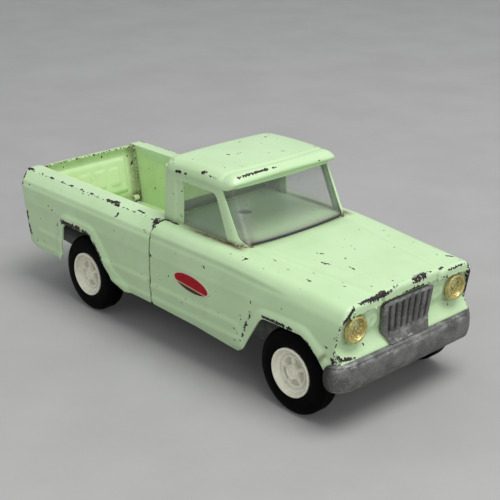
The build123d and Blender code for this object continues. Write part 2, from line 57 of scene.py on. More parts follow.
def fade(x, low, high):
    """1 below low, 0 above high, smooth between."""
    return 1 - ease(x, low, high)


def ridge(x, middle, width):
    """1 at the middle, falling off like a bell."""
    return np.exp(-((x - middle) / width) ** 2)


def softened(at, value, reach, steps=3, spread=1.8):
    """value(at) averaged over a short run to both sides, so its bends are rounded."""
    mean = total = 0
    for k in range(-steps, steps + 1):
        share = math.exp(-(k / spread) ** 2)
        mean = mean + share * value(at + k * reach)
        total += share
    return mean / total


def between(x, places):
    """Straight runs through (x, value) places."""
    return np.interp(x, [p[0] for p in places], [p[1] for p in places])


def rounded_path(corners, step=0.9):
    """Closed outline through (u, v, radius) corners, its runs divided to about one step."""
    path = []
    for i, (u, v, radius) in enumerate(corners):
        here = np.array((u, v), float)
        before = np.array(corners[i - 1][:2], float) - here
        after = np.array(corners[(i + 1) % len(corners)][:2], float) - here
        reach_a, reach_b = np.linalg.norm(before), np.linalg.norm(after)
        if radius <= 0:
            path.append(here)
            continue
        half = math.acos(np.clip(before @ after / reach_a / reach_b, -1, 1)) / 2
        cut = min(radius / math.tan(half), 0.49 * min(reach_a, reach_b))
        start, end = here + before / reach_a * cut, here + after / reach_b * cut
        for t in np.linspace(0, 1, 3 + int(cut * 1.5)):
            path.append((1 - t) ** 2 * start + 2 * t * (1 - t) * here + t * t * end)
    divided = []
    for a, b in zip(path, path[1:] + path[:1]):
        parts = max(1, int(np.linalg.norm(b - a) / step))
        divided += [a + (b - a) * k / parts for k in range(parts)]
    return np.array(divided)


def mirrored(half):
    """The right half of an outline with its mirror image."""
    return half + [(-y, z, r) for y, z, r in reversed(half)]


def circle_path(u, v, radius, step=0.6):
    parts = max(16, int(2 * math.pi * radius / step))
    turn = np.linspace(0, 2 * math.pi, parts, endpoint=False)
    return np.column_stack((u + radius * np.cos(turn), v + radius * np.sin(turn)))


def path_distance(points, path, closed=True):
    """Distance from each point to a path."""
    a = path if closed else path[:-1]
    b = np.roll(path, -1, 0) if closed else path[1:]
    best = np.full(len(points), 1e9)
    for p, q in zip(a, b):
        run = q - p
        t = np.clip((points - p) @ run / max(run @ run, 1e-9), 0, 1)
        best = np.minimum(best, np.linalg.norm(points - p - t[:, None] * run, axis=1))
    return best


def inside_paths(points, paths):
    """True inside an odd number of the paths, so holes are left out."""
    crossings = np.zeros(len(points), int)
    for path in paths:
        for a, b in zip(path, np.roll(path, -1, 0)):
            if a[1] == b[1]:
                continue
            spans = (points[:, 1] >= min(a[1], b[1])) & (points[:, 1] < max(a[1], b[1]))
            at = a[0] + (points[:, 1] - a[1]) * (b[0] - a[0]) / (b[1] - a[1])
            crossings += spans & (points[:, 0] < at)
    return crossings % 2 == 1


# ---------------------------------------------------------------- sheet surfaces
def tangents(place, u, v, small=0.03):
    along = (place(u + small, v) - place(u - small, v)) / (2 * small)
    across = (place(u, v + small) - place(u, v - small)) / (2 * small)
    return along, across


def normals(place, u, v):
    along, across = tangents(place, u, v)
    n = np.cross(along, across)
    return n / np.maximum(np.linalg.norm(n, axis=1), 1e-9)[:, None]


def raised(place, relief, side=1):
    """The surface moved out along its normal by relief(u, v) mm."""
    return lambda u, v: place(u, v) + normals(place, u, v) * (side * relief(u, v))[:, None]


def rolled(place, edge, radius, way):
    """Past u = edge(v) the sheet rolls over by a quarter turn and runs on inwards."""

    def there(u, v):
        start = edge(v)
        past = np.maximum(way * (u - start), 0)
        held = np.where(past > 0, start, u)
        along, across = tangents(place, held, v)
        n = np.cross(along, across)
        n /= np.maximum(np.linalg.norm(n, axis=1), 1e-9)[:, None]
        along = way * along / np.linalg.norm(along, axis=1)[:, None]
        turn = np.minimum(past / radius, math.pi / 2)
        rest = np.maximum(past - radius * math.pi / 2, 0)
        out = place(held, v) + along * (radius * np.sin(turn))[:, None]
        return out - n * (radius * (1 - np.cos(turn)) + rest)[:, None]

    return there


def trimmed(paths, spacing):
    """Points and triangles that fill the first path around the others."""
    low, high = paths[0].min(0), paths[0].max(0)
    us = np.arange(low[0], high[0], spacing)
    vs = np.arange(low[1], high[1], spacing)
    grid = np.array([(u + (k % 2) * spacing / 2, v) for k, v in enumerate(vs) for u in us])
    away = np.min([path_distance(grid, p) for p in paths], axis=0)
    grid = grid[inside_paths(grid, paths) & (away > spacing * 0.55)]
    rims = []
    for path in paths:
        run = np.roll(path, -1, 0) - np.roll(path, 1, 0)
        run /= np.maximum(np.linalg.norm(run, axis=1), 1e-9)[:, None]
        for way in (1, -1):
            rims.append(path + way * 0.3 * np.column_stack((-run[:, 1], run[:, 0])))
    rims = np.concatenate(rims)
    away = np.min([path_distance(rims, p) for p in paths], axis=0)
    rims = rims[inside_paths(rims, paths) & (away > 0.25)]
    points = np.concatenate(paths + [rims, grid])
    edges, first = [], 0
    for path in paths:
        count = len(path)
        edges += [(first + k, first + (k + 1) % count) for k in range(count)]
        first += count
    made = geometry.delaunay_2d_cdt([Vector(p) for p in points], edges, [], 0, 1e-5)
    points = np.array([(p.x, p.y) for p in made[0]])
    triangles = np.array([f for f in made[2] if len(f) == 3])
    middle = points[triangles].mean(1)
    return points, triangles[inside_paths(middle, paths)]


def open_edges(triangles):
    """Edges that only one triangle uses, in that triangle's order."""
    seen = {}
    for tri in triangles:
        for a, b in zip(tri, np.roll(tri, -1)):
            key = (min(a, b), max(a, b))
            seen[key] = None if key in seen else (a, b)
    return [pair for pair in seen.values() if pair]


class Shape:
    """A mesh in the making: points, faces and what each point carries."""

    def __init__(self):
        self.points, self.faces, self.wear, self.rust_and_shade = [], [], [], []

    def add(self, points, faces, wear=None, rust_and_shade=None):
        first = sum(len(p) for p in self.points)
        count = len(points)
        self.points.append(np.asarray(points, float))
        self.faces += [tuple(int(k) + first for k in f) for f in faces]
        self.wear.append(np.zeros(count) if wear is None else wear)
        self.rust_and_shade.append(np.zeros(count) if rust_and_shade is None else rust_and_shade)

    def sheet(self, place, paths, spacing=0.9, thick=SHEET, side=1, wear=None, rust_and_shade=None):
        """A trimmed sheet of this thickness. side says which way its outside faces."""
        uv, triangles = trimmed(paths, spacing)
        u, v = uv[:, 0], uv[:, 1]
        outer = place(u, v)
        inner = outer - normals(place, u, v) * (side * thick)
        edge = np.min([path_distance(uv, p) for p in paths], axis=0)
        worn = wear(u, v, outer, edge) if wear else np.zeros(len(uv))
        rust_and_shade_values = rust_and_shade(u, v, outer, edge) if rust_and_shade else np.zeros(len(uv))
        if side < 0:
            triangles = triangles[:, ::-1]
        count = len(uv)
        faces = [tuple(t) for t in triangles] + [tuple(t[::-1] + count) for t in triangles]
        faces += [(b, a, a + count, b + count) for a, b in open_edges(triangles)]
        self.add(np.concatenate((outer, inner)), faces, np.tile(worn, 2), np.tile(rust_and_shade_values, 2))

    def lathe(self, profile, centre, side, parts=96):
        """Turn a closed run of (radius, y) places about the line through centre (x, z) along y."""
        turn = np.linspace(0, 2 * math.pi, parts, endpoint=False)
        rings = []
        for r, y in profile:
            x, z = centre[0] + r * np.cos(turn), centre[1] + r * np.sin(turn)
            rings.append(np.column_stack((x, np.full(parts, side * y), z)))
        count = len(profile)
        faces = []
        for i in range(count):
            j = (i + 1) % count
            for k in range(parts):
                m = (k + 1) % parts
                quad = (i * parts + k, j * parts + k, j * parts + m, i * parts + m)
                faces.append(quad if side > 0 else quad[::-1])
        self.add(np.concatenate(rings), faces)

    def piece(self, name, body, slot, material, sharp=38):
        """Turn the shape into a Blender piece that rides on a CAD body."""
        mesh = bpy.data.meshes.new(name)
        mesh.from_pydata((np.concatenate(self.points) * MM).tolist(), [], self.faces)
        mesh.validate()
        # The second channel carries rust stains and dirt, and on some parts painted shade.
        for label, values in (("wear", self.wear), ("rust_and_shade", self.rust_and_shade)):
            layer = mesh.attributes.new(label, "FLOAT", "POINT")
            layer.data.foreach_set("value", np.concatenate(values).astype(np.float32))
        mesh.materials.append(material)
        mesh.shade_smooth()
        mesh.set_sharp_from_angle(angle=math.radians(sharp))
        made = bpy.data.objects.new(name, mesh)
        bpy.context.scene.collection.objects.link(made)
        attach(made, body)
        return made


# ---------------------------------------------------------------- shader building
class Nodes:
    """Short names for the shader nodes used here."""

    def __init__(self, name):
        self.material = bpy.data.materials.new(name)
        self.material.use_nodes = True
        self.tree = self.material.node_tree
        self.tree.nodes.clear()
        self.place = self.node("ShaderNodeTexCoord").outputs["Object"]

    def node(self, kind, inputs=(), **settings):
        made = self.tree.nodes.new(kind)
        for key, value in settings.items():
            setattr(made, key, value)
        for key, value in dict(inputs).items():
            if isinstance(value, bpy.types.NodeSocket):
                self.tree.links.new(value, made.inputs[key])
            else:
                made.inputs[key].default_value = value
        return made

    def noise(self, size, detail=3.0, rough=0.55, stretch=None):
        """Noise with features about size mm across, from 0 to 1."""
        vector = self.place
        if stretch:
            vector = self.node("ShaderNodeMapping", {"Vector": vector, "Scale": stretch}).outputs[0]
        values = {"Vector": vector, "Scale": 1 / (size * MM), "Detail": detail, "Roughness": rough}
        return self.node("ShaderNodeTexNoise", values).outputs["Fac"]

    def cells(self, size):
        values = {"Vector": self.place, "Scale": 1 / (size * MM)}
        return self.node("ShaderNodeTexVoronoi", values).outputs["Distance"]

    def carried(self, label):
        return self.node("ShaderNodeAttribute", attribute_name=label).outputs["Fac"]

    def math(self, operation, a, b=0.0):
        return self.node("ShaderNodeMath", {0: a, 1: b}, operation=operation).outputs[0]

    def plus(self, a, b):
        return self.math("ADD", a, b)

    def minus(self, a, b):
        return self.math("SUBTRACT", a, b)

    def times(self, a, b):
        return self.math("MULTIPLY", a, b)

    def range(self, value, low, high, to_low=0.0, to_high=1.0):
        values = {"Value": value, "From Min": low, "From Max": high, "To Min": to_low, "To Max": to_high}
        return self.node("ShaderNodeMapRange", values, interpolation_type="SMOOTHSTEP").outputs[0]

    def mix(self, share, a, b):
        a, b = (c if isinstance(c, bpy.types.NodeSocket) else (*c, 1) for c in (a, b))
        return self.node("ShaderNodeMix", {"Factor": share, 6: a, 7: b}, data_type="RGBA").outputs[2]

    def bump(self, height, depth):
        values = {"Height": height, "Distance": depth * MM, "Strength": 1.0}
        return self.node("ShaderNodeBump", values).outputs[0]

    def finish(self, **sockets):
        values = {key.replace("_", " "): value for key, value in sockets.items()}
        surface = self.node("ShaderNodeBsdfPrincipled", values).outputs[0]
        output = self.node("ShaderNodeOutputMaterial")
        self.tree.links.new(surface, output.inputs["Surface"])
        return self.material


# ---------------------------------------------------------------- materials
def enamel(name, light, deep, stain=0.0, painted_shade_past=None):
    """Old pale green enamel: soft mottling, chips down to maroon primer and dark steel, rust stains, and
    painted shade past a given half width.
    """
    n = Nodes(name)
    wear, rust_and_shade = n.carried("wear"), n.carried("rust_and_shade")
    ragged = n.noise(1.15, 4, 0.65)
    level = n.plus(wear, n.times(n.minus(ragged, 0.5), 1.5))
    chip = n.range(level, 0.60, 0.64)
    specks = n.range(n.noise(2.6, 2, 0.5), 0.736, 0.744)
    chip = n.math("MAXIMUM", chip, specks)
    halo = n.range(level, 0.44, 0.60)
    paint = n.mix(n.range(n.noise(28, 3), 0.35, 0.68), light, deep)
    dust = n.times(n.range(n.noise(7, 5, 0.7), 0.5, 0.75), 0.22)
    paint = n.mix(dust, paint, (0.55, 0.60, 0.42))
    paint = n.mix(n.times(halo, 0.35), paint, (0.82, 0.90, 0.74))
    stains = n.times(rust_and_shade, n.range(n.noise(2.2, 5, 0.7), 0.20, 0.52))
    stains = n.plus(stains, n.times(n.range(n.noise(16, 5, 0.6), 0.55, 0.8), stain))
    paint = n.mix(n.math("MINIMUM", stains, 1.0), paint, (0.115, 0.062, 0.030))
    bare = n.mix(n.range(n.noise(3.4, 2), 0.47, 0.60), (0.004, 0.006, 0.004), (0.032, 0.007, 0.006))
    colour = n.mix(chip, paint, bare)
    # Painted shade: past that half width and below 55 mm the sheet is painted near black, where it lies
    # behind the bed sides.
    if painted_shade_past:
        split = n.node("ShaderNodeSeparateXYZ", {0: n.place})
        painted_shade = n.range(n.math("ABSOLUTE", split.outputs[1]), painted_shade_past * MM, (painted_shade_past + 0.05) * MM)
        painted_shade = n.times(painted_shade, n.range(split.outputs[2], 55 * MM, 54 * MM))
        colour = n.mix(painted_shade, colour, (0.012, 0.014, 0.010))
    gloss = n.range(n.noise(12, 4), 0.3, 0.7, 0.30, 0.42)
    rough = n.plus(gloss, n.times(n.math("MAXIMUM", chip, stains), 0.35))
    film = n.minus(n.times(n.noise(1.1, 2), 0.10), n.times(chip, 1.0))
    dents = n.times(n.noise(9, 2), 0.35)
    return n.finish(
        Base_Color=colour,
        Roughness=rough,
        Normal=n.bump(n.plus(film, dents), 0.12),
        Specular_IOR_Level=0.45,
        Coat_Weight=0.18,
        Coat_Roughness=0.22,
    )


def zinc(name):
    """Bare die casting gone dull: grainy grey, darker in its pits, near black in the grille's grooves and,
    as painted shade, along the back of the bumper.
    """
    n = Nodes(name)
    grain = n.noise(0.55, 5, 0.75)
    cloud = n.noise(7, 4, 0.6)
    colour = n.mix(n.range(cloud, 0.35, 0.65), (0.105, 0.107, 0.100), (0.205, 0.205, 0.195))
    colour = n.mix(n.range(grain, 0.52, 0.70), colour, (0.33, 0.33, 0.31))
    colour = n.mix(n.range(grain, 0.46, 0.34), colour, (0.045, 0.046, 0.042))
    # Near black where the second channel is set: painted shade behind the bumper, and darker grooves in the
    # grille.
    colour = n.mix(n.carried("rust_and_shade"), colour, (0.030, 0.032, 0.022))
    scuffs = n.range(n.noise(3.0, 6, 0.75, (1, 0.5, 1)), 0.46, 0.62)
    colour = n.mix(n.times(n.carried("wear"), scuffs), colour, (0.42, 0.42, 0.40))
    return n.finish(
        Base_Color=colour,
        Metallic=0.55,
        Roughness=n.range(cloud, 0.3, 0.7, 0.42, 0.62),
        Normal=n.bump(n.plus(grain, n.times(cloud, 0.6)), 0.22),
    )


def steel(name):
    n = Nodes(name)
    grain = n.noise(0.8, 4, 0.6, (1, 0.15, 1))
    spots = n.range(n.noise(2.2, 4, 0.65), 0.56, 0.66)
    colour = n.mix(spots, (0.42, 0.42, 0.40), (0.16, 0.085, 0.045))
    return n.finish(
        Base_Color=colour,
        Metallic=0.9,
        Roughness=n.range(n.plus(grain, spots), 0.3, 1.2, 0.28, 0.7),
        Normal=n.bump(grain, 0.04),
    )


def wheel_plastic(name):
    """Cream moulded plastic, a little dirty, with painted shade in the hollows of the hub."""
    n = Nodes(name)
    grime = n.times(n.range(n.noise(3.0, 5, 0.7), 0.45, 0.75), 0.35)
    painted_hub_shade = n.carried("rust_and_shade")
    colour = n.mix(n.range(n.noise(14, 3), 0.35, 0.65), (0.86, 0.85, 0.70), (0.78, 0.77, 0.62))
    colour = n.mix(grime, colour, (0.36, 0.31, 0.21))
    # Painted shade: dark brown in the hub's hollows.
    colour = n.mix(painted_hub_shade, colour, (0.20, 0.16, 0.095))
    return n.finish(
        Base_Color=colour,
        Roughness=n.range(n.noise(4, 4), 0.3, 0.7, 0.36, 0.5),
        Normal=n.bump(n.noise(0.7, 3), 0.05),
        Subsurface_Weight=0.08,
        Subsurface_Radius=(0.001, 0.0008, 0.0006),
    )


def rubber(name):
    n = Nodes(name)
    scuff = n.range(n.noise(3.5, 5, 0.7), 0.52, 0.75)
    colour = n.mix(n.times(scuff, 0.5), (0.0014, 0.0014, 0.0016), (0.0065, 0.006, 0.0055))
    return n.finish(
        Base_Color=colour,
        Roughness=n.range(scuff, 0, 1, 0.45, 0.6),
        Normal=n.bump(n.noise(0.9, 4), 0.04),
        Specular_IOR_Level=0.03,
    )


def clear_plastic(name):
    """Smoky clear moulding with scuffs, a hazy rim and a pale veil that is partly painted reflection."""
    n = Nodes(name)
    scuff = n.range(n.noise(5, 6, 0.72), 0.55, 0.80)
    scratch = n.range(n.noise(1.2, 4, 0.6, (0.12, 1, 1)), 0.62, 0.70)
    haze = n.plus(n.times(scuff, 0.18), n.times(scratch, 0.10))
    alpha = n.plus(n.plus(haze, 0.14), n.times(n.carried("rust_and_shade"), 0.5))
    alpha = n.plus(alpha, n.carried("wear"))
    # The pale grey base, seen thinly over what lies behind, is haze and a painted reflection veil in one.
    colour = n.mix(n.carried("rust_and_shade"), (0.34, 0.37, 0.34), (0.15, 0.12, 0.08))
    colour = n.mix(n.carried("wear"), colour, (0.012, 0.020, 0.026))
    return n.finish(
        Base_Color=colour,
        Alpha=n.math("MINIMUM", alpha, 0.9),
        Roughness=n.range(scuff, 0, 1, 0.09, 0.32),
        Specular_IOR_Level=0.7,
        Normal=n.bump(n.noise(18, 2), 0.10),
    )


def amber_lens(name):
    """Gold backed amber lens with a faceted face."""
    n = Nodes(name)
    facet = n.cells(0.8)
    colour = n.mix(n.range(n.noise(1.6, 4), 0.42, 0.62), (0.54, 0.46, 0.15), (0.36, 0.31, 0.09))
    # Painted shade in the pits between the facets.
    painted_pit_shade = n.times(n.carried("rust_and_shade"), n.range(n.noise(2.2, 2), 0.36, 0.56, 1.0, 0.65))
    colour = n.mix(painted_pit_shade, colour, (0.085, 0.070, 0.012))
    return n.finish(
        Base_Color=colour,
        Metallic=0.35,
        Roughness=n.range(n.noise(1.5, 3), 0.3, 0.7, 0.16, 0.34),
        Normal=n.bump(facet, 0.10),
        Coat_Weight=0.7,
        Coat_Roughness=0.08,
    )


def emblem_print(name, middle, tilt):
    """Blank printed oval: red field, olive foot under a thin pale line, pale rim."""
    n = Nodes(name)
    split = n.node("ShaderNodeSeparateXYZ", {0: n.place})
    along = n.minus(split.outputs[0], middle[0] * MM)
    up = n.minus(split.outputs[2], middle[1] * MM)
    up = n.plus(up, n.times(along, math.tan(math.radians(tilt))))
    up = n.times(up, 1 / MM)
    foot = n.range(up, -1.75, -1.95)
    line = n.times(n.range(up, -2.05, -1.95), n.range(up, -1.45, -1.55))
    mottled = n.range(n.noise(2.5, 4), 0.3, 0.7)
    red = n.mix(mottled, (0.42, 0.003, 0.012), (0.33, 0.002, 0.009))
    colour = n.mix(foot, red, (0.055, 0.045, 0.012))
    colour = n.mix(line, colour, (0.62, 0.40, 0.30))
    colour = n.mix(n.range(n.carried("wear"), 0.45, 0.55), colour, (0.60, 0.58, 0.46))
    return n.finish(
        Base_Color=colour,
        Roughness=n.range(mottled, 0, 1, 0.34, 0.46),
        Normal=n.bump(n.noise(1.5, 3), 0.02),
        Specular_IOR_Level=0.15,
    )


def floor_paint(name):
    n = Nodes(name)
    colour = n.mix(n.range(n.noise(60, 4), 0.3, 0.7), (0.37, 0.365, 0.355), (0.40, 0.395, 0.385))
    return n.finish(Base_Color=colour, Roughness=0.62, Normal=n.bump(n.noise(2.5, 3), 0.05))


GREEN = enamel("green_enamel", (0.545, 0.735, 0.435), (0.505, 0.695, 0.395))
# The bed's insides and the tailgate take the body's paint made lighter, as painted light, with extra stains
# and painted shade past 30.1 mm.
BED_GREEN_LIT = enamel("bed_enamel_lit", (0.62, 0.80, 0.44), (0.56, 0.75, 0.385), 0.12, 30.1)
# The chassis has the body's pale green paint; here it is painted near black as painted shade under the
# truck, with rust stains.
UNDER_SHADE_GREEN = enamel("chassis_painted_shade", (0.07, 0.09, 0.06), (0.04, 0.05, 0.035), 0.35)
ZINC = zinc("dull_zinc")
STEEL = steel("plain_steel")
CREAM = wheel_plastic("cream_plastic")
RUBBER = rubber("black_rubber")
GLASS = clear_plastic("smoky_plastic")
AMBER = amber_lens("amber_lens")


# ---------------------------------------------------------------- body section
BELT_Z = 59.6
COWL_X = 46.0
LIP_X = 111.7
MIDDLE = 98.4               # section length from the floor line to the middle of the deck

# Half sections as (length along the section, half width, height).
DOOR = [(8, 37.8, 8), (19.5, 41.1, 19.5), (24, 42.4, 24), (34, 43, 34), (46, 43, 46)]
DOOR += [(52.6, 42.55, 52.6), (57.2, 40.3, 56.9), (60.3, 38.2, 59), (62.6, 36, 59.6)]
DOOR += [(98.4, 0, 59.6), (108.4, -10, 59.6)]
NOSE = [(8, 35.8, 8), (19.5, 39.1, 19.5), (24, 40.4, 24), (34, 41, 34), (45, 41, 44)]
NOSE += [(52.6, 40.4, 48.6), (57.2, 38.9, 52.2), (60.3, 37.2, 54), (62.6, 35.2, 54.7)]
NOSE += [(98.4, 0, 55.1), (108.4, -10, 55)]
RAIL = DOOR[:6] + [(61.3, 36.8, 59.3), (62.2, 36.0, 59.6), (67.0, 31.2, 59.6), (69.1, 29.1, 59.6)]
RAIL += [(74.4, 29.1, 54.3), (90, 29.1, 39)]
FRONT_ARCH = [(51.6, 16.4), (56.9, 20.1), (68.8, 38.6), (91.5, 38.6), (99.5, 32.2), (106, 23.4)]
REAR_ARCH = [(-76.1, 20.8), (-73.3, 41.6), (-50.5, 41.3), (-35.5, 24.5), (-26.8, 20.6)]
ARCH_ROUNDING = 5.0


def section(table, s, spread):
    """Half width and height along a section, its corners softened by spread."""

    def column(which):
        places = [(p[0], p[which]) for p in table]
        return softened(s, lambda at: between(at, places), spread / 2.2, 4, 2.2)

    return column(1), column(2)


def nose_share(x):
    """0 at the doors, 1 at the lip of the hood."""
    back = x - COWL_X
    return (np.sqrt(back * back + 16) + back) / 2 / (LIP_X - COWL_X)


def cab_skin(x, t):
    """Cab below the belt: x along the truck, t across it from the right sill to the left one."""
    s = MIDDLE - np.abs(t)
    door_y, door_z = section(DOOR, s, 1.3)
    nose_y, nose_z = section(NOSE, s, 1.6)
    f = nose_share(x)
    y = door_y + (nose_y - door_y) * f
    z = door_z + (nose_z - door_z) * f
    return np.column_stack((x, np.sign(t) * y, z))


def bed_skin(x, t):
    y, z = section(RAIL, MIDDLE - np.abs(t), 0.7)
    return np.column_stack((x, np.sign(t) * y, z))


def arch_path(arch):
    corners = [(*arch[0], 0)] + [(*p, ARCH_ROUNDING) for p in arch[1:-1]] + [(*arch[-1], 0)]
    return rounded_path(corners)


FRONT_ARCH_PATH = arch_path(FRONT_ARCH)
REAR_ARCH_PATH = arch_path(REAR_ARCH)


def flare(x, s, path, width):
    """Band round a wheel arch that swings out towards the opening."""
    near = path_distance(np.column_stack((x, s)), path)
    band = 0.52 * fade(near, width - 1.5, width) + 0.62 * fade(near, 0.6, width)
    rounded = 0.30 * fade(near, 0, 1.1)
    return (band - rounded) * ease(s, 16.5, 21)


# Rise of the pressed lines against length along the section: two steps above the sill, then a
# faint ridge and the crease under the shoulder.
LOW_LINES = [(14, 0.1), (21.5, 0.72), (23.9, 0.85), (24.9, 0.16), (30.2, 0.62), (31.3, 0)]
HIGH_LINES = [(42, 0), (45, 0.16), (46, 0), (52.6, 0), (53.5, -0.24), (54.4, 0.72), (58, 0.55), (62, 0)]


def side_lines(s):
    return [softened(s, lambda at: between(at, table), 0.3 / 1.8) for table in (LOW_LINES, HIGH_LINES)]


def cab_relief(x, t):
    s = MIDDLE - np.abs(t)
    low, high = side_lines(s)
    low = low * fade(x + 0.45 * (s - 24), 54.5, 58.5)
    high = high * fade(x, 62, 90)
    half = 27.0 - (x - 51) * 0.136
    hood = 1.1 * fade(np.abs(t), half - 1.1, half + 1.1)
    hood = (hood - 0.3 * ridge(np.abs(t) - half, 1.4, 1.0)) * ease(x, 46, 55)
    return low + high + hood + flare(x, s, FRONT_ARCH_PATH, 4.8)


def bed_relief(x, t):
    s = MIDDLE - np.abs(t)
    low, high = side_lines(s - 1.6 * ease(s, 26, 32) * fade(s, 36, 40))
    low = low * ease(x - 0.45 * (s - 24), -103.5, -99)
    return low + high + flare(x, s, REAR_ARCH_PATH, 5.6)


# Rubs are lines where the paint is worn off: start x y z, end x y z and reach of the wear.
RUB_SPREAD = 1.6            # wear fades out this many times past its reach


def worn(points, rubs):
    """1 on the line of a rub, given as (start x y z, end x y z, reach), falling to 0 at its reach."""
    most = np.zeros(len(points))
    for *ends, reach in rubs:
        a, end = np.array(ends, float).reshape(2, 3)
        run = end - a
        t = np.clip((points - a) @ run / max(run @ run, 1e-9), 0, 1)
        away = np.linalg.norm(points - a - t[:, None] * run, axis=1)
        most = np.maximum(most, 1 - away / (reach * RUB_SPREAD))
    return most


def edge_wear(edge, amount, reach=0.9):
    return amount * ridge(edge, 0, reach)


# ---------------------------------------------------------------- cab
LIP_ROLL = 1.6              # rounding of the hood's front lip
DECK_HOLE = (12, 0, 3.7)    # x, y and radius of the hole in the deck under the roof

HOOD_RUBS = [
    (112, -39.5, 49.5, 111, -34, 53.6, 1.5), (111, -30, 54.8, 111, -24, 55, 1.3),
    (111.2, -24, 54.8, 111, -17, 55, 2.4), (111.5, -16, 54.6, 110.5, -8, 55.4, 1.1),
    (110.2, -12, 55.6, 110, -6, 55.6, 0.8), (111.7, -4, 52, 111.7, 8, 52, 0.9),
    (110.8, 2, 55.2, 110.4, 9, 55.4, 2.3), (110.6, 11, 55.2, 110.4, 13, 55.2, 1.3),
    (112, 16, 51.5, 112, 24, 51.5, 1), (109.8, 15, 55, 109.5, 22, 55, 1.2),
    (111.8, 24, 54, 111.8, 34, 54, 1), (111.5, 38.5, 52, 110.2, 41, 44, 3),
    (110, 41, 44, 109, 41, 37, 1.8), (109, 33, 55.6, 110, 35.5, 55.2, 1),
    (78, -17, 57.6, 80.5, -16, 57.6, 1.5), (66, 10, 58.6, 67, 8, 58.6, 0.9), (75, 5.5, 58, 77, 4, 58, 0.9),
    (87, -10.5, 57, 90, -11, 57, 1.2), (94, 6, 56.8, 96, 8.5, 56.6, 0.7),
    (69, 3, 58.5, 69.4, 3.2, 58.5, 0.8), (103, 33, 55.5, 105, 35, 55, 1),
    (64.5, 3.7, 58.8, 66, 2.8, 58.8, 0.8), (97, -24, 56, 97.4, -24, 56, 0.8),
    (72, -31, 57.2, 73, -30.6, 57.2, 1), (84, -31.5, 56.4, 85.4, -31.5, 56.4, 1.1),
    (80.5, -25, 57, 80.9, -24.6, 57, 0.9), (70, -12, 58.4, 72, -10.5, 58.4, 1.2),
]
DOOR_RUBS = [
    (45, -42.6, 54, 45.3, -42.6, 52.8, 0.9), (1.5, -42.6, 53.6, 4.6, -42.8, 53, 0.7),
    (20, -43, 31, 20.3, -43, 31, 0.7), (17.8, -43, 28.6, 18, -43, 28.6, 0.8),
    (61.6, -43.2, 37.6, 60.6, -43.4, 35.4, 1.5), (59.6, -43.4, 32.6, 58.4, -43.4, 30.2, 1.9),
    (57.4, -43.2, 27.4, 57, -43, 26, 1.2), (55.8, -42.8, 23.4, 55.4, -42.6, 22.4, 1),
    (70, -43.4, 39.4, 82, -43.1, 39.4, 1.2), (84, -43.1, 39.3, 86, -43, 39.3, 1.2),
    (94.5, -42.4, 36.6, 97.5, -42, 33.8, 1.1), (108.6, -39.6, 30.8, 107.6, -40.6, 28.5, 1.7),
    (104.6, -41.4, 27, 105.4, -41.2, 25.6, 1.2), (-4.4, -34.5, 59.6, -4.3, -40.5, 57, 1.8),
    (-4.2, -33.4, 59.6, 5, -33.8, 59.6, 1.1), (-4.4, -43, 45, -3.4, -43, 44, 0.9),
    (107.5, -41.5, 33, 107.5, -41.5, 31.6, 1.8), (104, -41.6, 37.4, 104.2, -41.6, 36.9, 1),
    (100.5, -41.6, 28, 100.9, -41.6, 27, 1.1),
]


def mirrored_path(half):
    """A half outline given as (x, s) on the right, closed by its mirror image."""
    right = [(x, s - MIDDLE, r) for x, s, r in half]
    return rounded_path(right + [(x, -t, r) for x, t, r in reversed(right)])


def cab_shell():
    half = [(-4.5, 20.5, 1.2), (25, 19.3, 0), (51.6, 16.4, 1.5)]
    half += [(*p, ARCH_ROUNDING) for p in FRONT_ARCH[1:-1]]
    half += [(106.0, 23.4, 1), (109.6, 23.4, 1), (110.1, 31.6, 1), (107.9, 36.0, 2), (108.8, 40.5, 3)]
    half += [(110.6, 51.6, 1), (112.4, 54.6, 2), (115.4, 58.5, 3)]
    outline = mirrored_path(half)
    hole = circle_path(*DECK_HOLE)
    skin = rolled(raised(cab_skin, cab_relief), lambda t: np.full(len(t), LIP_X - LIP_ROLL), LIP_ROLL, 1)

    def wear(x, t, points, edge):
        lip = ease(x, 109.2, 110.4) * ease(MIDDLE - np.abs(t), 53, 56)
        front = edge_wear(edge, 0.36) * (1 + 0.6 * ease(points[:, 0], 100, 108))
        return np.maximum.reduce((front, 0.30 * lip, worn(points, HOOD_RUBS + DOOR_RUBS)))

    def rust_and_shade(x, t, points, edge):
        px, py, pz = points.T
        belt = ridge(np.abs(py), 33.2, 1.9) * (pz > 58.4) * ease(px, 2, 22) * fade(px, 44, 50)
        cowl = ridge(px - 48.2 + (py / 32) ** 4 * 2.5, 0, 1.3) * (pz > 58) * (np.abs(py) < 33)
        nose = np.exp(-path_distance(points[:, [0, 2]], np.array([(103.5, 33.5), (101.5, 31)]), False) ** 2)
        return np.maximum(belt, 0.6 * cowl) + 0.8 * nose * (points[:, 1] < 0)

    cab = Shape()
    cab.sheet(skin, [outline, hole], 0.85, wear=wear, rust_and_shade=rust_and_shade)
    made = cab.piece("cab_pressing", "truck", "green_paint", GREEN)
    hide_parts("cab_body")


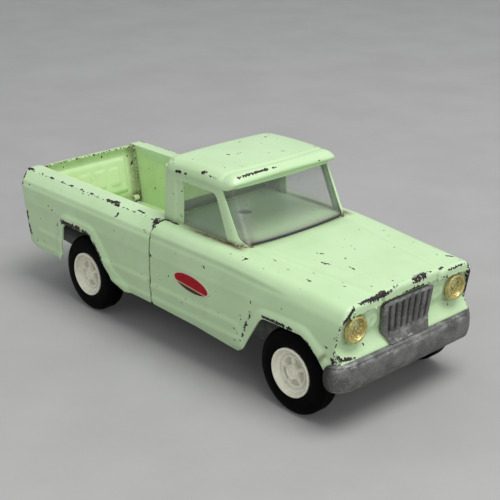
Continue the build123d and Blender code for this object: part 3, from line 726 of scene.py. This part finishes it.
# ---------------------------------------------------------------- bed sides
BED_RUBS = [
    (-113.6, -36.5, 59.6, -109, -36.2, 59.4, 1.7), (-112.6, -39, 57.4, -110.6, -42, 52, 1.8),
    (-105, -42.4, 54, -104.4, -42.4, 53.6, 1.1), (-44.5, -36.2, 59.5, -35, -37, 59.2, 1.5),
    (-40, -35, 59.6, -37, -35.2, 59.6, 1.3), (-22, -35, 59.6, -17, -35.6, 59.6, 1.2),
    (-31.5, -39.6, 56.6, -32, -40.6, 55.2, 1.3), (-7.5, -35.5, 59.6, -6, -39.5, 58, 2),
    (-10, -42, 55, -8.6, -42.2, 54.4, 1.1), (-74, -44.2, 42.4, -59, -44.2, 42.6, 2),
    (-56, -44.2, 42.2, -50, -44.2, 41.4, 1.8), (-47, -44.2, 38.4, -40, -44.2, 30.6, 1.3),
    (-83.5, -43, 45.6, -83.2, -43, 45.4, 0.9), (-86.5, -43, 47.2, -86.2, -43, 47, 0.8),
    (-80, -43, 50.4, -79.8, -43, 50.2, 0.8), (-79, -43, 40, -78.8, -43, 38.6, 0.9),
    (-79.4, -43, 30.4, -79.2, -43, 28.8, 0.9), (-107, -43, 38.5, -106.6, -43, 35.6, 1.7),
    (-81, -43, 45, -80.8, -43, 45, 0.6), (-77.6, -43, 35, -77.6, -43, 33, 1),
    (-105.8, -42.6, 32, -104.6, -42.2, 28, 1.6), (-6.2, -43, 32, -5.8, -43, 31.4, 0.9),
    (-100, -36.4, 59.5, -99.5, -36.5, 59.4, 0.8), (-92, -36.6, 59.4, -88, -36.6, 59.4, 0.9),
    (-82, -36.6, 59.4, -80, -36.6, 59.4, 0.9), (-74, -36.5, 59.4, -73, -36.5, 59.4, 0.8),
    (-66, -36.5, 59.4, -65.4, -36.5, 59.4, 0.8), (-58, -36.4, 59.5, -56, -36.6, 59.4, 0.9),
]
REAR_EDGE = [(12, -105), (21.5, -106.8), (34, -107.6), (44, -109.4), (53, -111.4), (57.5, -112.9)]
REAR_EDGE += [(60, -113.8), (62.6, -114.4), (80, -114.4)]
REAR_ROLL = 1.4             # rounding of the rear edge
REAR_FLANGE = [(22, 9.5), (44, 11.5), (55, 10), (60, 6.5), (64, 1.5)]    # section length, flange depth
BED_FRONT = -5.7
BED_REACH = (-114.4, 44.45)    # rearmost and widest place of the folded sheet


def bed_shell(side, side_name):
    def start(t):
        return between(MIDDLE - np.abs(t), REAR_EDGE) + REAR_ROLL

    skin = rolled(raised(bed_skin, bed_relief), start, REAR_ROLL, -1)
    fold = REAR_ROLL - REAR_ROLL * math.pi / 2
    flange = [(between(s, REAR_EDGE) + fold - deep, s, 0) for s, deep in REAR_FLANGE]
    half = [(BED_FRONT, 58, 0), (BED_FRONT, 20.5, 1.2)] + [(*p, ARCH_ROUNDING) for p in REAR_ARCH[::-1]]
    half += [(-100, 20.8, 3), (-106.5, 22.6, 2)] + flange
    half += [(flange[-1][0] + 0.4, 69.0, 0), (-104.2, 69.6, 0), (-103.5, 74.4, 0), (BED_FRONT, 74.4, 0)]
    outline = rounded_path([(x, side * (MIDDLE - s), r) for x, s, r in half])

    def wear(x, t, points, edge):
        right = points * (1, -side, 1)
        rail = 0.62 * ridge(np.abs(points[:, 1]), 36.9, 0.9) * (points[:, 2] > 58.4)
        tail = 0.42 * ridge(x - start(t), -0.6, 1.0)
        return np.maximum.reduce((edge_wear(edge, 0.42), rail, tail, worn(right, BED_RUBS)))

    bed = Shape()
    bed.sheet(skin, [outline], 0.9, wear=wear)
    rear, wide = BED_REACH
    bed.points[0] = np.clip(bed.points[0], (rear, -wide, 0), (0, wide, 90))
    made = bed.piece(f"bed_side_{side_name}_pressing", "truck", "green_paint", GREEN)
    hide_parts(f"bed_side_{side_name}")


# ---------------------------------------------------------------- upper cab
EAVE_Z = 84.6
RING_FOOT = (-8, 47.4, 33, 3.5, 7, 2.4)    # rear x, front x, half width, rear and front rounding, bow
RING_EAVE = (-7, 36.2, 32.2, 3.5, 6, 1.2)
RING_MARKS = (29.5, 35, 81, 90, 116)      # ends of rear wall, corner, side, corner and front along q


def ring_plan(q, shape, inset):
    """Half outline of the upper cab at |q|, from the middle of the rear wall to the middle of the front."""
    rear, front, half, small, large, bow = shape
    rear, front, half = rear + inset, front - inset, half - inset
    small, large = max(small - inset, 0.5), max(large - inset, 0.5)
    a, b, c, d, e = RING_MARKS
    turn_1 = np.clip((q - a) / (b - a), 0, 1) * math.pi / 2
    turn_2 = np.clip((q - c) / (d - c), 0, 1) * math.pi / 2
    flat = np.clip((q - b) / (c - b), 0, 1)
    x = rear + small * (1 - np.cos(turn_1)) + (front - large - rear - small) * flat + large * np.sin(turn_2)
    y = (half - small) * np.clip(q / a, 0, 1) + small * np.sin(turn_1)
    y = y - large * (1 - np.cos(turn_2)) - (half - large) * np.clip((q - d) / (e - d), 0, 1)
    return x + bow * (1 - (y / half) ** 2) * (q > c) * np.sin(turn_2), y


def ring_skin(inset):
    def there(q, z):
        q = (q + RING_MARKS[4]) % (2 * RING_MARKS[4]) - RING_MARKS[4]
        foot_x, foot_y = ring_plan(np.abs(q), RING_FOOT, inset)
        eave_x, eave_y = ring_plan(np.abs(q), RING_EAVE, inset)
        f = (z - BELT_Z) / (EAVE_Z - BELT_Z)
        y = foot_y + (eave_y - foot_y) * f
        return np.column_stack((foot_x + (eave_x - foot_x) * f, np.sign(q) * y, z))

    return there


def side_q(x, z):
    """Place along the ring of a point x on the flat of the side."""
    f = (z - BELT_Z) / (EAVE_Z - BELT_Z)
    rear = RING_FOOT[0] + RING_FOOT[3] + (RING_EAVE[0] + RING_EAVE[3] - RING_FOOT[0] - RING_FOOT[3]) * f
    front = RING_FOOT[1] - RING_FOOT[4] + (RING_EAVE[1] - RING_EAVE[4] - RING_FOOT[1] + RING_FOOT[4]) * f
    return RING_MARKS[1] + (x - rear) / (front - rear) * (RING_MARKS[2] - RING_MARKS[1])


def pillars():
    window = [(38.2, 59.3, 0), (37.6, 60.2, 1), (29.1, 79.8, 3.0), (6.6, 80.0, 1.2), (6.6, 59.3, 0)]
    half = [(116, EAVE_Z, 0), (116, 82.8, 0), (82.4, 82.8, 1), (84.4, 62.0, 4), (88.5, 59.8, 1)]
    half += [(89.0, 59.3, 0)] + [(side_q(x, z), z, r) for x, z, r in window]
    outline = rounded_path(mirrored(half))
    rear_window = rounded_path([(-22, 64.5, 2.5), (22, 64.5, 2.5), (22, 80.5, 2.5), (-22, 80.5, 2.5)])

    def relief(q, z):
        along = np.abs(q)
        step = ease(along, side_q(1.6, z), side_q(2.8, z)) - ease(along, side_q(6.6, z), side_q(12, z))
        return -0.40 * step * fade(z, 78, 80)

    def wear(q, z, points, edge):
        rear = 0.40 * ridge(np.abs(q), 31.5, 0.9)
        foot = 0.50 * ridge(z, 59.5, 0.7)
        rubs = [(-7.4, -31.6, 80, -7.2, -31.6, 76, 0.9)]
        return np.maximum.reduce((rear, foot, edge_wear(edge, 0.22), worn(points, rubs)))

    def rust_and_shade(q, z, points, edge):
        front = ease(points[:, 0], 26, 36)
        return (0.35 + 0.65 * front) * fade(z, 59.8, 62.2)

    ring = Shape()
    ring.sheet(raised(ring_skin(0), relief, -1), [outline, rear_window], 0.9, side=-1, wear=wear, rust_and_shade=rust_and_shade)
    return ring


ROOF_CORE = (-1.2, 34, 26.8)          # rear x, front x and half width of the flat of the roof
# Way out and way down against distance from the flat of the roof.
ROOF_REACH, VISOR_REACH = 9.7, 11    # how far the sheet is drawn past the flat, at the sides and in front
ROOF_SIDE = [(0, 0, 0), (2, 1.95, 0.25), (4, 3.6, 1.3), (5.6, 4.9, 2.5), (7.4, 5.55, 4.2)]
ROOF_SIDE += [(7.9, 5.55, 4.6), (8.2, 5.8, 4.8), (9.8, 5.8, 6.4)]
ROOF_FRONT = [(0, 0, 0), (3.4, 3.35, 0.45), (4.3, 4.1, 0.95), (7, 6.1, 2.75)]
ROOF_FRONT += [(7.7, 6.1, 3.4), (11, 3, 4.6)]


def roof_skin(a, b):
    """Roof over plan place (a, b): flat core, then rolled down to the eaves and the visor."""
    rear, front, half = ROOF_CORE
    x, y = np.clip(a, rear, front), np.clip(b, -half, half)
    power = np.where(a > x, 2.8, 2.2)
    away = (np.abs(a - x) ** power + np.abs(b - y) ** power) ** (1 / power)
    nx, ny = (a - x) / np.maximum(away, 1e-6), (b - y) / np.maximum(away, 1e-6)
    ahead = np.where(nx > 0, nx * nx / np.maximum(nx * nx + ny * ny, 1e-6), 0)

    def column(which):
        def value(at):
            side, front = ([(p[0], p[which]) for p in table] for table in (ROOF_SIDE, ROOF_FRONT))
            at = np.maximum(at, 0)
            return (1 - ahead) * between(at, side) + ahead * between(at, front)

        return softened(away, value, 0.3)

    out, down = np.where(away > 0, column(1), 0), column(2)
    top = 89.9 - 0.75 * ((x - 15) / 20) ** 2 - 0.5 * (y / half) ** 2
    return np.column_stack((x + nx * out, y + ny * out, top - down))


def visor_crease(x, y):
    line = 34.6 - 0.0028 * y * y * (np.abs(y) < 26) - (np.abs(y) >= 26) * (1.9 + (np.abs(y) - 26) * 0.1)
    ahead = x - line
    side = np.abs(y) - 27.5
    tray = -0.25 * ridge(side, 0, 0.9) * fade(x, 25, 33)
    fold = -0.55 * ridge(ahead, 0, 0.75) * fade(np.abs(y), 30.5, 32.5)
    return fold + 0.35 * ease(ahead, 0.5, 2.2) * fade(np.abs(y), 25, 29) + tray


ROOF_RUBS = [
    (38.4, -28.5, 88.3, 38.6, -11, 88.6, 1.15), (38.8, -8, 88.4, 38.9, -4, 88.4, 0.7),
    (39.8, -31, 85.4, 39.2, -31.8, 84.6, 1), (39.8, 31.5, 86, 38.6, 32.4, 85, 1.8),
    (40, 24, 88, 40, 29, 87.6, 1), (19.5, -31.6, 86.9, 21.5, -31.2, 87.3, 1.2),
    (23.5, -31.5, 86.5, 28.5, -31.8, 86.2, 0.55), (-6.5, -24, 87.5, -5.5, -20, 88, 1.3),
    (-2, -30, 87.5, 0, -31.4, 86.2, 0.7), (3.5, 21, 89.4, 4.2, 20.6, 89.4, 0.9),
    (14, -12, 89.8, 14.8, -11.8, 89.8, 0.9), (2, 6, 89.8, 2.8, 5.4, 89.8, 0.8),
    (-4.4, -26, 88, -3.6, -28.5, 87.4, 1.5), (3, -32.6, 84, 6.5, -32.6, 84, 1),
    (9, -32.6, 84, 10, -32.6, 84, 0.8), (26, 10, 89.6, 27.4, 11, 89.6, 0.5),
    (30, -18, 89.4, 30.6, -18.6, 89.4, 0.45), (-5, -22, 88.2, -5, -17, 88.3, 1.5),
    (-5, -8, 88.4, -4.8, -5, 88.5, 1.4), (-4.8, 6, 88.5, -4.6, 13, 88.5, 1.4),
    (-5, 18, 88.3, -5, 23, 88.2, 1.6), (8, 31.4, 87.2, 12, 31.4, 87.2, 1.3),
    (22, 31.4, 87.2, 23, 31.4, 87.2, 1.3),
]


def roof_cap(ring):
    rear, front, half = ROOF_CORE
    back, tip, wide = rear - ROOF_REACH, front + VISOR_REACH, half + ROOF_REACH
    outline = rounded_path([(x, y, 9) for x, y in ((back, -wide), (tip, -wide), (tip, wide), (back, wide))])

    def relief(a, b):
        place = roof_skin(a, b)
        return visor_crease(place[:, 0], place[:, 1])

    def wear(a, b, points, edge):
        rear_edge = 0.56 * ridge(points[:, 0], -4.6, 1.1) * (points[:, 2] > 86)
        return np.maximum.reduce((edge_wear(edge, 0.34), rear_edge, worn(points, ROOF_RUBS)))

    ring.sheet(raised(roof_skin, relief), [outline], 0.8, wear=wear)
    made = ring.piece("cab_roof_pressing", "truck", "green_paint", GREEN)
    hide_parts("cab_roof")


def glazing():
    """One clear moulding just inside the pillars."""
    panes = Shape()
    ends = [(-152.0, 59.9, 0), (79.9, 59.9, 0), (79.9, 83.0, 0), (-152.0, 83.0, 0)]

    # Dirt along the foot of the glass, and painted shade up the near front corner where the moulding bends.
    def grime_and_corner_shade(q, z, points, edge):
        low = fade(z, 60, 63.5)
        corner = ease(-q, 82, 86) * fade(-q, 86, 95)
        return np.clip(0.55 * low + 0.55 * corner * fade(z, 62, 80), 0, 1)

    # Near black and nearly opaque along the foot of the windshield.
    def dark_glass_foot(q, z, points, edge):
        return 1.0 * (z < 60.9) * ((q < -85) & (q > -147))

    panes.sheet(ring_skin(1.1), [rounded_path(ends, 2)], 1.2, 0.9, -1, wear=dark_glass_foot, rust_and_shade=grime_and_corner_shade)
    made = panes.piece("cab_window_moulding", "truck", "clear_plastic", GLASS)
    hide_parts("cab_glazing")


# ---------------------------------------------------------------- nose
PANEL = [(23, 111.2), (31.6, 111.3), (37.2, 107), (38.2, 106.9), (40, 107.5), (50, 108.7), (53.5, 109)]
LENS_X, LENS_Y, LENS_Z = 109.8, 31.0, 43.8
LENS_R = 6.15
LENS_FACET = 0.95


def panel_skin(y, z):
    x = softened(z, lambda at: between(at, PANEL), 0.35)
    socket = np.hypot((np.abs(y) - LENS_Y) / 1.25, z - LENS_Z)
    boss = np.hypot(np.abs(y) - 20.0, z - 43.6)
    bulge = 1.0 * fade(socket, 5.5, 8.0) * ease(z, 37.6, 39.5)
    stud = 1.0 * fade(boss, 2.6, 4.6) - 0.35 * fade(boss, 0.4, 2.2)
    return np.column_stack((x + bulge + stud, y, z))


def nose_panel():
    half = [(-39.0, 24, 1), (-39.9, 31.5, 1), (-40.0, 44, 2), (-38.6, 50, 2), (-36.2, 53.2, 1)]
    outline = rounded_path(mirrored(half))

    def wear(y, z, points, edge):
        rubs = [(110.4, -38, 33, 110.6, -32, 31.8, 1.1), (110.4, -5, 32, 110.4, 3, 32, 1.0)]
        rubs += [(109.5, -39.5, 34.6, 110.3, -39.2, 31.8, 1.2), (109.6, 36, 36, 109.4, 36.3, 35.8, 0.8)]
        foot = 0.40 * ridge(z, 31.9, 0.6)
        return np.maximum.reduce((foot, edge_wear(edge, 0.30), worn(points, rubs)))

    def rust_and_shade(y, z, points, edge):
        return 0.5 * ridge(np.hypot(np.abs(y) - LENS_Y, z - LENS_Z), 6.6, 0.7)

    panel = Shape()
    panel.sheet(panel_skin, [outline], 0.8, wear=wear, rust_and_shade=rust_and_shade)
    made = panel.piece("nose_pressing", "truck", "green_paint", GREEN)
    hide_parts("front_panel")


GRILLE = [(31.6, 112.5), (32.2, 112.4), (36.6, 110.5), (49, 111.5), (50.4, 110.9)]
GRILLE_GROOVES = 7


def grille_skin(y, z):
    """Place on the face, distance from the nearest groove's middle and from the side edge."""
    x = between(z, GRILLE)
    half = between(z, [(31, 12.0), (36.6, 14.2), (50, 15.6)])
    pitch = 2 * (half - 1.3) / GRILLE_GROOVES
    return np.column_stack((x, y, z)), np.abs((y / pitch + 0.5) % 1 - 0.5) * pitch, half - np.abs(y)


def groove(wave, margin, z, floor, rim):
    """1 in the grooves between the ribs, from floor to rim away from their middles."""
    return fade(wave, floor, rim) * ease(margin, 1.0, 1.5) * ease(z, 35.6, 36.6) * fade(z, 48.0, 48.8)


def grille_face(y, z):
    points, wave, margin = grille_skin(y, z)
    points[:, 0] -= 1.6 * groove(wave, margin, z, 0.35, 0.95) + 0.7 * fade(margin, 0, 0.9)
    return points


# Near black in the grooves between the ribs.
def grille_groove_dark(y, z, points, edge):
    wave, margin = grille_skin(y, z)[1:]
    return groove(wave, margin, z, 0.3, 1.0)


def grille_edges(y, z, points, edge):
    return 0.9 * ridge(edge, 0.9, 0.6) + 0.6 * fade(z, 35.0, 36.0)


def grille():
    half = [(-12.0, 31.7, 0.4), (-14.2, 36.6, 0.6), (-15.6, 50.0, 1.6), (-10, 50.3, 0)]
    outline = rounded_path(mirrored(half), 0.6)
    cast = Shape()
    cast.sheet(grille_face, [outline], 0.36, 1.6, wear=grille_edges, rust_and_shade=grille_groove_dark)
    made = cast.piece("grille_casting", "truck", "zinc_casting", ZINC, 60)
    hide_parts("radiator_grille")


BUMPER_RING = [(-0.3, 31.3), (0.9, 31.45), (2, 30.6), (2.75, 29), (3, 26.6), (3, 23.6), (2.7, 21.2)]
BUMPER_RING += [(1.8, 19.5), (0.6, 19.05), (-0.3, 19.4), (-0.3, 30)]


def bumper_line(a):
    """Inner line of the bumper seen from above, a from -1 at the right tip to 1 at the left one."""
    end, corner = 0.09, 0.21
    side = np.sign(a)
    back = 1 - np.abs(a)
    tip = np.clip(back / end, 0, 1)
    turn = np.clip((back - end) / (corner - end), 0, 1) * math.pi / 2
    mid = np.clip((back - corner) / (1 - corner), 0, 1)
    y = 41.4 - 6.4 * (1 - np.cos(turn)) - 35.0 * mid
    x = 104.6 + 2.0 * tip + 4.6 * np.sin(turn) + 0.25 * np.sin(mid * math.pi / 2)
    return np.column_stack((x, side * y))


BUMPER_MIDDLE = 25.2        # height of its centre line
BUMPER_PLATE = (9.5, 3.6)   # half length and rounding of the raised plate
BUMPER_NECK = 1.4           # depth about which the section shrinks towards the tips


def bumper():
    """One section carried along the line, its tips drawn in, with a raised plain plate in front."""
    line = bumper_line(np.linspace(-1, 1, 241))
    run = np.gradient(line, axis=0)
    out = np.column_stack((run[:, 1], -run[:, 0])) / np.linalg.norm(run, axis=1)[:, None]
    travel = np.concatenate(([0], np.cumsum(np.linalg.norm(np.diff(line, axis=0), axis=1))))
    near = np.minimum(np.minimum(travel, travel[-1] - travel) / 5.0, 1)
    shrink = 0.42 + 0.58 * np.sqrt(np.maximum(0, 1 - (1 - near) ** 2))[:, None]
    deep, high = rounded_path([(o, z, 0.6) for o, z in BUMPER_RING], 0.5).T
    half, rounding = BUMPER_PLATE
    beside = np.maximum(np.abs(line[:, 1:]) - half, 0)
    plate = fade(np.hypot(beside, high - BUMPER_MIDDLE), rounding, rounding + 0.5)
    reach = deep - 0.42 * (deep > 2) * (1 - plate) + 0.03 * plate
    reach = BUMPER_NECK + (reach - BUMPER_NECK) * shrink
    x, y = line[:, :1] + out[:, :1] * reach, line[:, 1:] + out[:, 1:] * reach
    points = np.stack((x, y, BUMPER_MIDDLE + (high - BUMPER_MIDDLE) * shrink), -1).reshape(-1, 3)
    count, faces = len(deep), []
    for i in range(len(line) - 1):
        for j in range(count):
            m = (j + 1) % count
            faces.append((i * count + j, i * count + m, (i + 1) * count + m, (i + 1) * count + j))
    last = (len(line) - 1) * count
    faces += [tuple(range(count))[::-1], tuple(range(last, last + count))]
    upper = ridge(points[:, 2], 30.0, 1.6) * ease(points[:, 0], 108, 111.5)
    cast = Shape()
    # The second channel is painted shade, darker towards the back of the bumper where it faces the apron.
    cast.add(points, faces, 0.85 * upper, 0.9 * fade(points[:, 0], 106, 111.4))
    made = cast.piece("bumper_casting", "truck", "zinc_casting", ZINC, 50)
    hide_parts("front_bumper")


def lens(side, side_name):
    """Collar and domed face, pressed all over with small facets."""

    def knurl(y, z):
        return np.cos(math.pi * y / LENS_FACET) * np.cos(math.pi * z / LENS_FACET)

    def face(y, z):
        away = np.hypot(y - side * LENS_Y, z - LENS_Z)
        collar = 1.5 * ease(away, 3.9, 4.7) * fade(away, 5.5, 6.2)
        bowl = -0.9 * (1 - (np.minimum(away, 4.4) / 4.4) ** 2) + 0.7 * fade(away, 0.6, 1.4)
        facets = 0.35 * knurl(y, z) * fade(away, 3.6, 4.2)
        return np.column_stack((LENS_X + collar + bowl + facets, y, z))

    def shade(y, z, points, edge):
        away = np.hypot(y - side * LENS_Y, z - LENS_Z)
        painted_pit_shade = ease(-knurl(y, z), -0.1, 0.7)
        return np.clip(painted_pit_shade * fade(away, 3.6, 4.2), 0, 1)

    glass = Shape()
    glass.sheet(face, [circle_path(side * LENS_Y, LENS_Z, LENS_R, 0.4)], 0.25, 1.2, rust_and_shade=shade)
    made = glass.piece(f"lens_{side_name}", "truck", "amber_plastic", AMBER, 60)
    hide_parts(f"headlight_lens_{side_name}")


# ---------------------------------------------------------------- door emblems
EMBLEM = (24.3, 39.4, 11.8, 4.4, 5)     # x, z, half length, half height, tilt in degrees
EMBLEM_Y = 43.22


def emblem(side, side_name):
    x0, z0, long, high, tilt = EMBLEM
    turn = math.radians(-tilt)
    oval = circle_path(0, 0, 1, 0.05) * (long, high)
    lean = np.array(((math.cos(turn), math.sin(turn)), (-math.sin(turn), math.cos(turn))))
    outline = oval @ lean + (x0, z0)

    def plate(x, z):
        return np.column_stack((x, np.full(len(x), side * EMBLEM_Y), z))

    def wear(x, z, points, edge):
        return fade(edge, 0.35, 0.95)

    sticker = Shape()
    sticker.sheet(plate, [outline], 0.35, 0.3, -side, wear=wear)
    material = emblem_print(f"emblem_print_{side_name}", (x0, z0), tilt)
    made = sticker.piece(f"emblem_{side_name}", "truck", "emblem", material)
    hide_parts(f"door_emblem_{side_name}")


# ---------------------------------------------------------------- tailgate
HINGE = (-106.4, 30.2)
GATE_LEAN = math.radians(9.5)
GATE_CORE = (27.7, -0.7, 28.6)         # half width, foot and head of the flat of the pan
GATE_FOLD = 1.2                        # rounding of the folded edges
GATE_RUN = GATE_FOLD * math.pi / 2 + 2.6    # fold and the flat of the rim, measured round
PADS_Y = (-14.4, -4.8, 4.8, 14.4)


def gate_skin(a, b):
    """Outside of the pan: flat, with all four edges folded into the bed."""
    half, low, high = GATE_CORE
    y, z = np.clip(a, -half, half), np.clip(b, low, high)
    away = np.hypot(a - y, b - z)
    turn = np.minimum(away / GATE_FOLD, math.pi / 2)
    out = GATE_FOLD * np.sin(turn) / np.maximum(away, 1e-6)
    deep = GATE_FOLD * (1 - np.cos(turn)) + np.maximum(away - GATE_FOLD * math.pi / 2, 0)
    x, y, z = deep - 1.9, y + (a - y) * out, z + (b - z) * out
    lean_x = HINGE[0] + x * math.cos(GATE_LEAN) - z * math.sin(GATE_LEAN)
    lean_z = HINGE[1] + x * math.sin(GATE_LEAN) + z * math.cos(GATE_LEAN)
    return np.column_stack((lean_x, y, lean_z))


def plateau(a, b, half, low, high, soft):
    """1 on a rectangle with soft sides."""
    across = fade(np.abs(a), half - soft, half)
    return across * ease(b, low, low + soft) * fade(b, high - soft, high)


def gate_relief(a, b):
    raised_field = 1.3 * plateau(a, b, 23.0, 4.5, 24.5, 1.5)
    pads = sum(plateau(a - y, b, 3.6, 9.3, 19.7, 0.9) for y in PADS_Y)
    return raised_field + 0.5 * pads


def tailgate():
    half, low, high = GATE_CORE
    wide, foot, head = half + GATE_RUN, low - GATE_RUN, high + GATE_RUN
    corners = (-wide, foot), (wide, foot), (wide, head), (-wide, head)
    outline = rounded_path([(y, z, 5.5) for y, z in corners])

    def wear(a, b, points, edge):
        return np.maximum(0.75 * ridge(b - high, 1.2, 1.2), edge_wear(edge, 0.55))

    def rust_and_shade(a, b, points, edge):
        return np.clip(0.5 * fade(half - np.abs(a), 0.5, 4.5) + 0.4 * fade(b, 1, 5), 0, 1)

    pan = Shape()
    pan.sheet(raised(gate_skin, gate_relief), [outline], 0.75, side=-1, wear=wear, rust_and_shade=rust_and_shade)
    for side in (1, -1):
        pan.lathe([(1.0, 24.8), (1.0, 28.0), (1.75, 28.0), (1.75, 24.8)], HINGE, side, 32)
    made = pan.piece("tailgate_pressing", "tailgate", "bed_paint", BED_GREEN_LIT)
    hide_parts("tailgate")


# ---------------------------------------------------------------- wheels
TYRE = [(9.6, 31.3), (11.6, 31.2), (13.2, 31.3), (16.2, 31.5), (17.7, 32.2), (18.5, 33.1), (18.8, 34.2)]
TYRE += [(18.8, 35.3), (18.55, 35.5), (18.55, 35.8), (18.8, 36), (18.8, 37.1), (18.55, 37.3), (18.55, 37.6)]
TYRE += [(18.8, 37.8), (18.8, 39), (18.45, 40), (17.6, 40.9), (16.4, 41.45), (14.6, 41.75), (12.8, 41.8)]
TYRE += [(11.6, 41.75), (10.95, 41.5), (10.75, 41), (10.75, 40.3), (9.6, 40.2)]
BARREL = [(1.7, 27), (4, 27), (4, 31), (4.3, 31.8), (9.55, 31.9), (9.55, 40.2), (10.6, 40.3)]
BARREL += [(10.7, 40.8), (10.7, 42), (10.2, 42.15), (9.9, 41.4), (9, 37.9), (1.7, 37.6)]
HUB_DISH = [(0, 38.7), (5.9, 38.7), (6.3, 40), (7.2, 40.2), (7.5, 39.7), (9.1, 40.4)]
HUB_DISH += [(9.5, 41.9), (10.4, 42.1), (10.7, 41.6)]
SPOKES = 5


def hub_face(centre, side):
    def there(a, b):
        away, turn = np.hypot(a, b), np.arctan2(b, a)
        near = np.abs(((turn / (2 * math.pi) * SPOKES + 0.15) % 1) - 0.5) * 2 * math.pi / SPOKES * away
        boss = 2.3 * fade(away, 3.0, 3.6) - 0.4 * fade(np.abs(away - 2.0), 0.1, 0.5)
        boss = boss - 0.3 * fade(away, 0.2, 0.6)
        spoke = 1.1 * fade(near, 0.75, 1.25) * ease(away, 1.8, 2.6)
        face = between(away, HUB_DISH) + np.maximum(boss, spoke) * fade(away, 5.8, 6.6)
        return np.column_stack((centre[0] + a, side * face, centre[1] + b))

    return there


# Painted shade for the hub: its recess, the step, the groove by the rim and the middle.
def hub_painted_shade(a, b, points, edge):
    away = np.hypot(a, b)
    low = fade(np.abs(points[:, 1]), 38.7, 39.7)
    rim = ridge(away, 9.35, 0.35)
    step = ridge(away, 7.45, 0.25)
    return 0.30 * low * (away < 6.6) + 0.22 * rim + 0.25 * step + 0.25 * fade(away, 0.2, 0.7)


def wheel(end, side, side_name):
    body = f"{end}_wheelset"
    low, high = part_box(f"tyre_{end}_{side_name}")
    centre = ((low.x + high.x) / 2 / MM, (low.z + high.z) / 2 / MM)
    tyre = Shape()
    tyre.lathe(TYRE, centre, side)
    made = tyre.piece(f"tyre_{end}_{side_name}_rubber", body, "tyre", RUBBER, 50)
    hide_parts(f"tyre_{end}_{side_name}")
    hub = Shape()
    hub.lathe(BARREL, centre, side)
    hub.sheet(hub_face(centre, side), [circle_path(0, 0, 10.55, 0.5)], 0.36, 0.6, -side, rust_and_shade=hub_painted_shade)
    made = hub.piece(f"wheel_{end}_{side_name}_moulding", body, "cream_plastic", CREAM, 45)
    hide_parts(f"wheel_{end}_{side_name}")


# ---------------------------------------------------------------- CAD nodes that stay
def dressed(node, material, edge=0.22):
    """Give a CAD node its finish and soften its edges."""
    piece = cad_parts[node]
    piece.data.materials.clear()
    piece.data.materials.append(material)
    weld = piece.modifiers.new("weld", "WELD")
    weld.merge_threshold = 1e-6
    flats = piece.modifiers.new("flats", "DECIMATE")
    flats.decimate_type = "DISSOLVE"
    flats.angle_limit = math.radians(0.5)
    bevel = piece.modifiers.new("bevel", "BEVEL")
    bevel.width = edge * MM
    bevel.segments = 2
    bevel.limit_method = "ANGLE"
    bevel.angle_limit = math.radians(35)
    bevel.harden_normals = True


# ---------------------------------------------------------------- stage
def stage():
    bpy.ops.mesh.primitive_plane_add(size=6)
    floor = bpy.context.object
    floor.name = "floor"
    floor.data.materials.append(floor_paint("floor_paint"))


def lamp(name, place, aim, size, power):
    data = bpy.data.lights.new(name, "AREA")
    data.shape, data.size, data.energy = "DISK", size, power
    made = bpy.data.objects.new(name, data)
    made.location = place
    made.rotation_euler = (Vector(aim) - Vector(place)).to_track_quat("-Z", "Y").to_euler()
    bpy.context.scene.collection.objects.link(made)


def lighting():
    world = bpy.data.worlds.new("studio")
    bpy.context.scene.world = world
    world.use_nodes = True
    back = world.node_tree.nodes["Background"]
    back.inputs[0].default_value = (0.93, 0.97, 1.0, 1)
    back.inputs[1].default_value = 0.50
    lamp("overhead", (0.47, 0.08, 1.4), (0, 0, 0.05), 1.0, 15.9)
    lamp("window", (1.2, -0.45, 0.5), (0, 0, 0.04), 0.7, 3.2)
    bpy.context.scene.view_settings.view_transform = "Standard"


CAMERA_AT = (0.37958, -0.33601, 0.23668)
CAMERA_AIM = (0.00357, 0.01113, 0.0350)
CAMERA_LENS, CAMERA_SENSOR = 82.57, 36


def camera():
    data = bpy.data.cameras.new("camera")
    data.lens, data.sensor_width = CAMERA_LENS, CAMERA_SENSOR
    data.clip_start = 0.01
    made = bpy.data.objects.new("camera", data)
    made.location = CAMERA_AT
    made.rotation_euler = (Vector(CAMERA_AIM) - made.location).to_track_quat("-Z", "Y").to_euler()
    bpy.context.scene.collection.objects.link(made)
    bpy.context.scene.camera = made


cab_shell()
roof_cap(pillars())
glazing()
nose_panel()
grille()
bumper()
for side, side_name in ((1, "left"), (-1, "right")):
    bed_shell(side, side_name)
    lens(side, side_name)
    emblem(side, side_name)
    for end in ("front", "rear"):
        wheel(end, side, side_name)
dressed("bed_liner", BED_GREEN_LIT)
tailgate()
dressed("chassis_frame", UNDER_SHADE_GREEN)
for node in ("body_rivets", "tailgate_hinge_pins", "front_axle", "rear_axle"):
    dressed(node, STEEL, 0.15)
stage()
lighting()
camera()

bpy.context.view_layer.update()
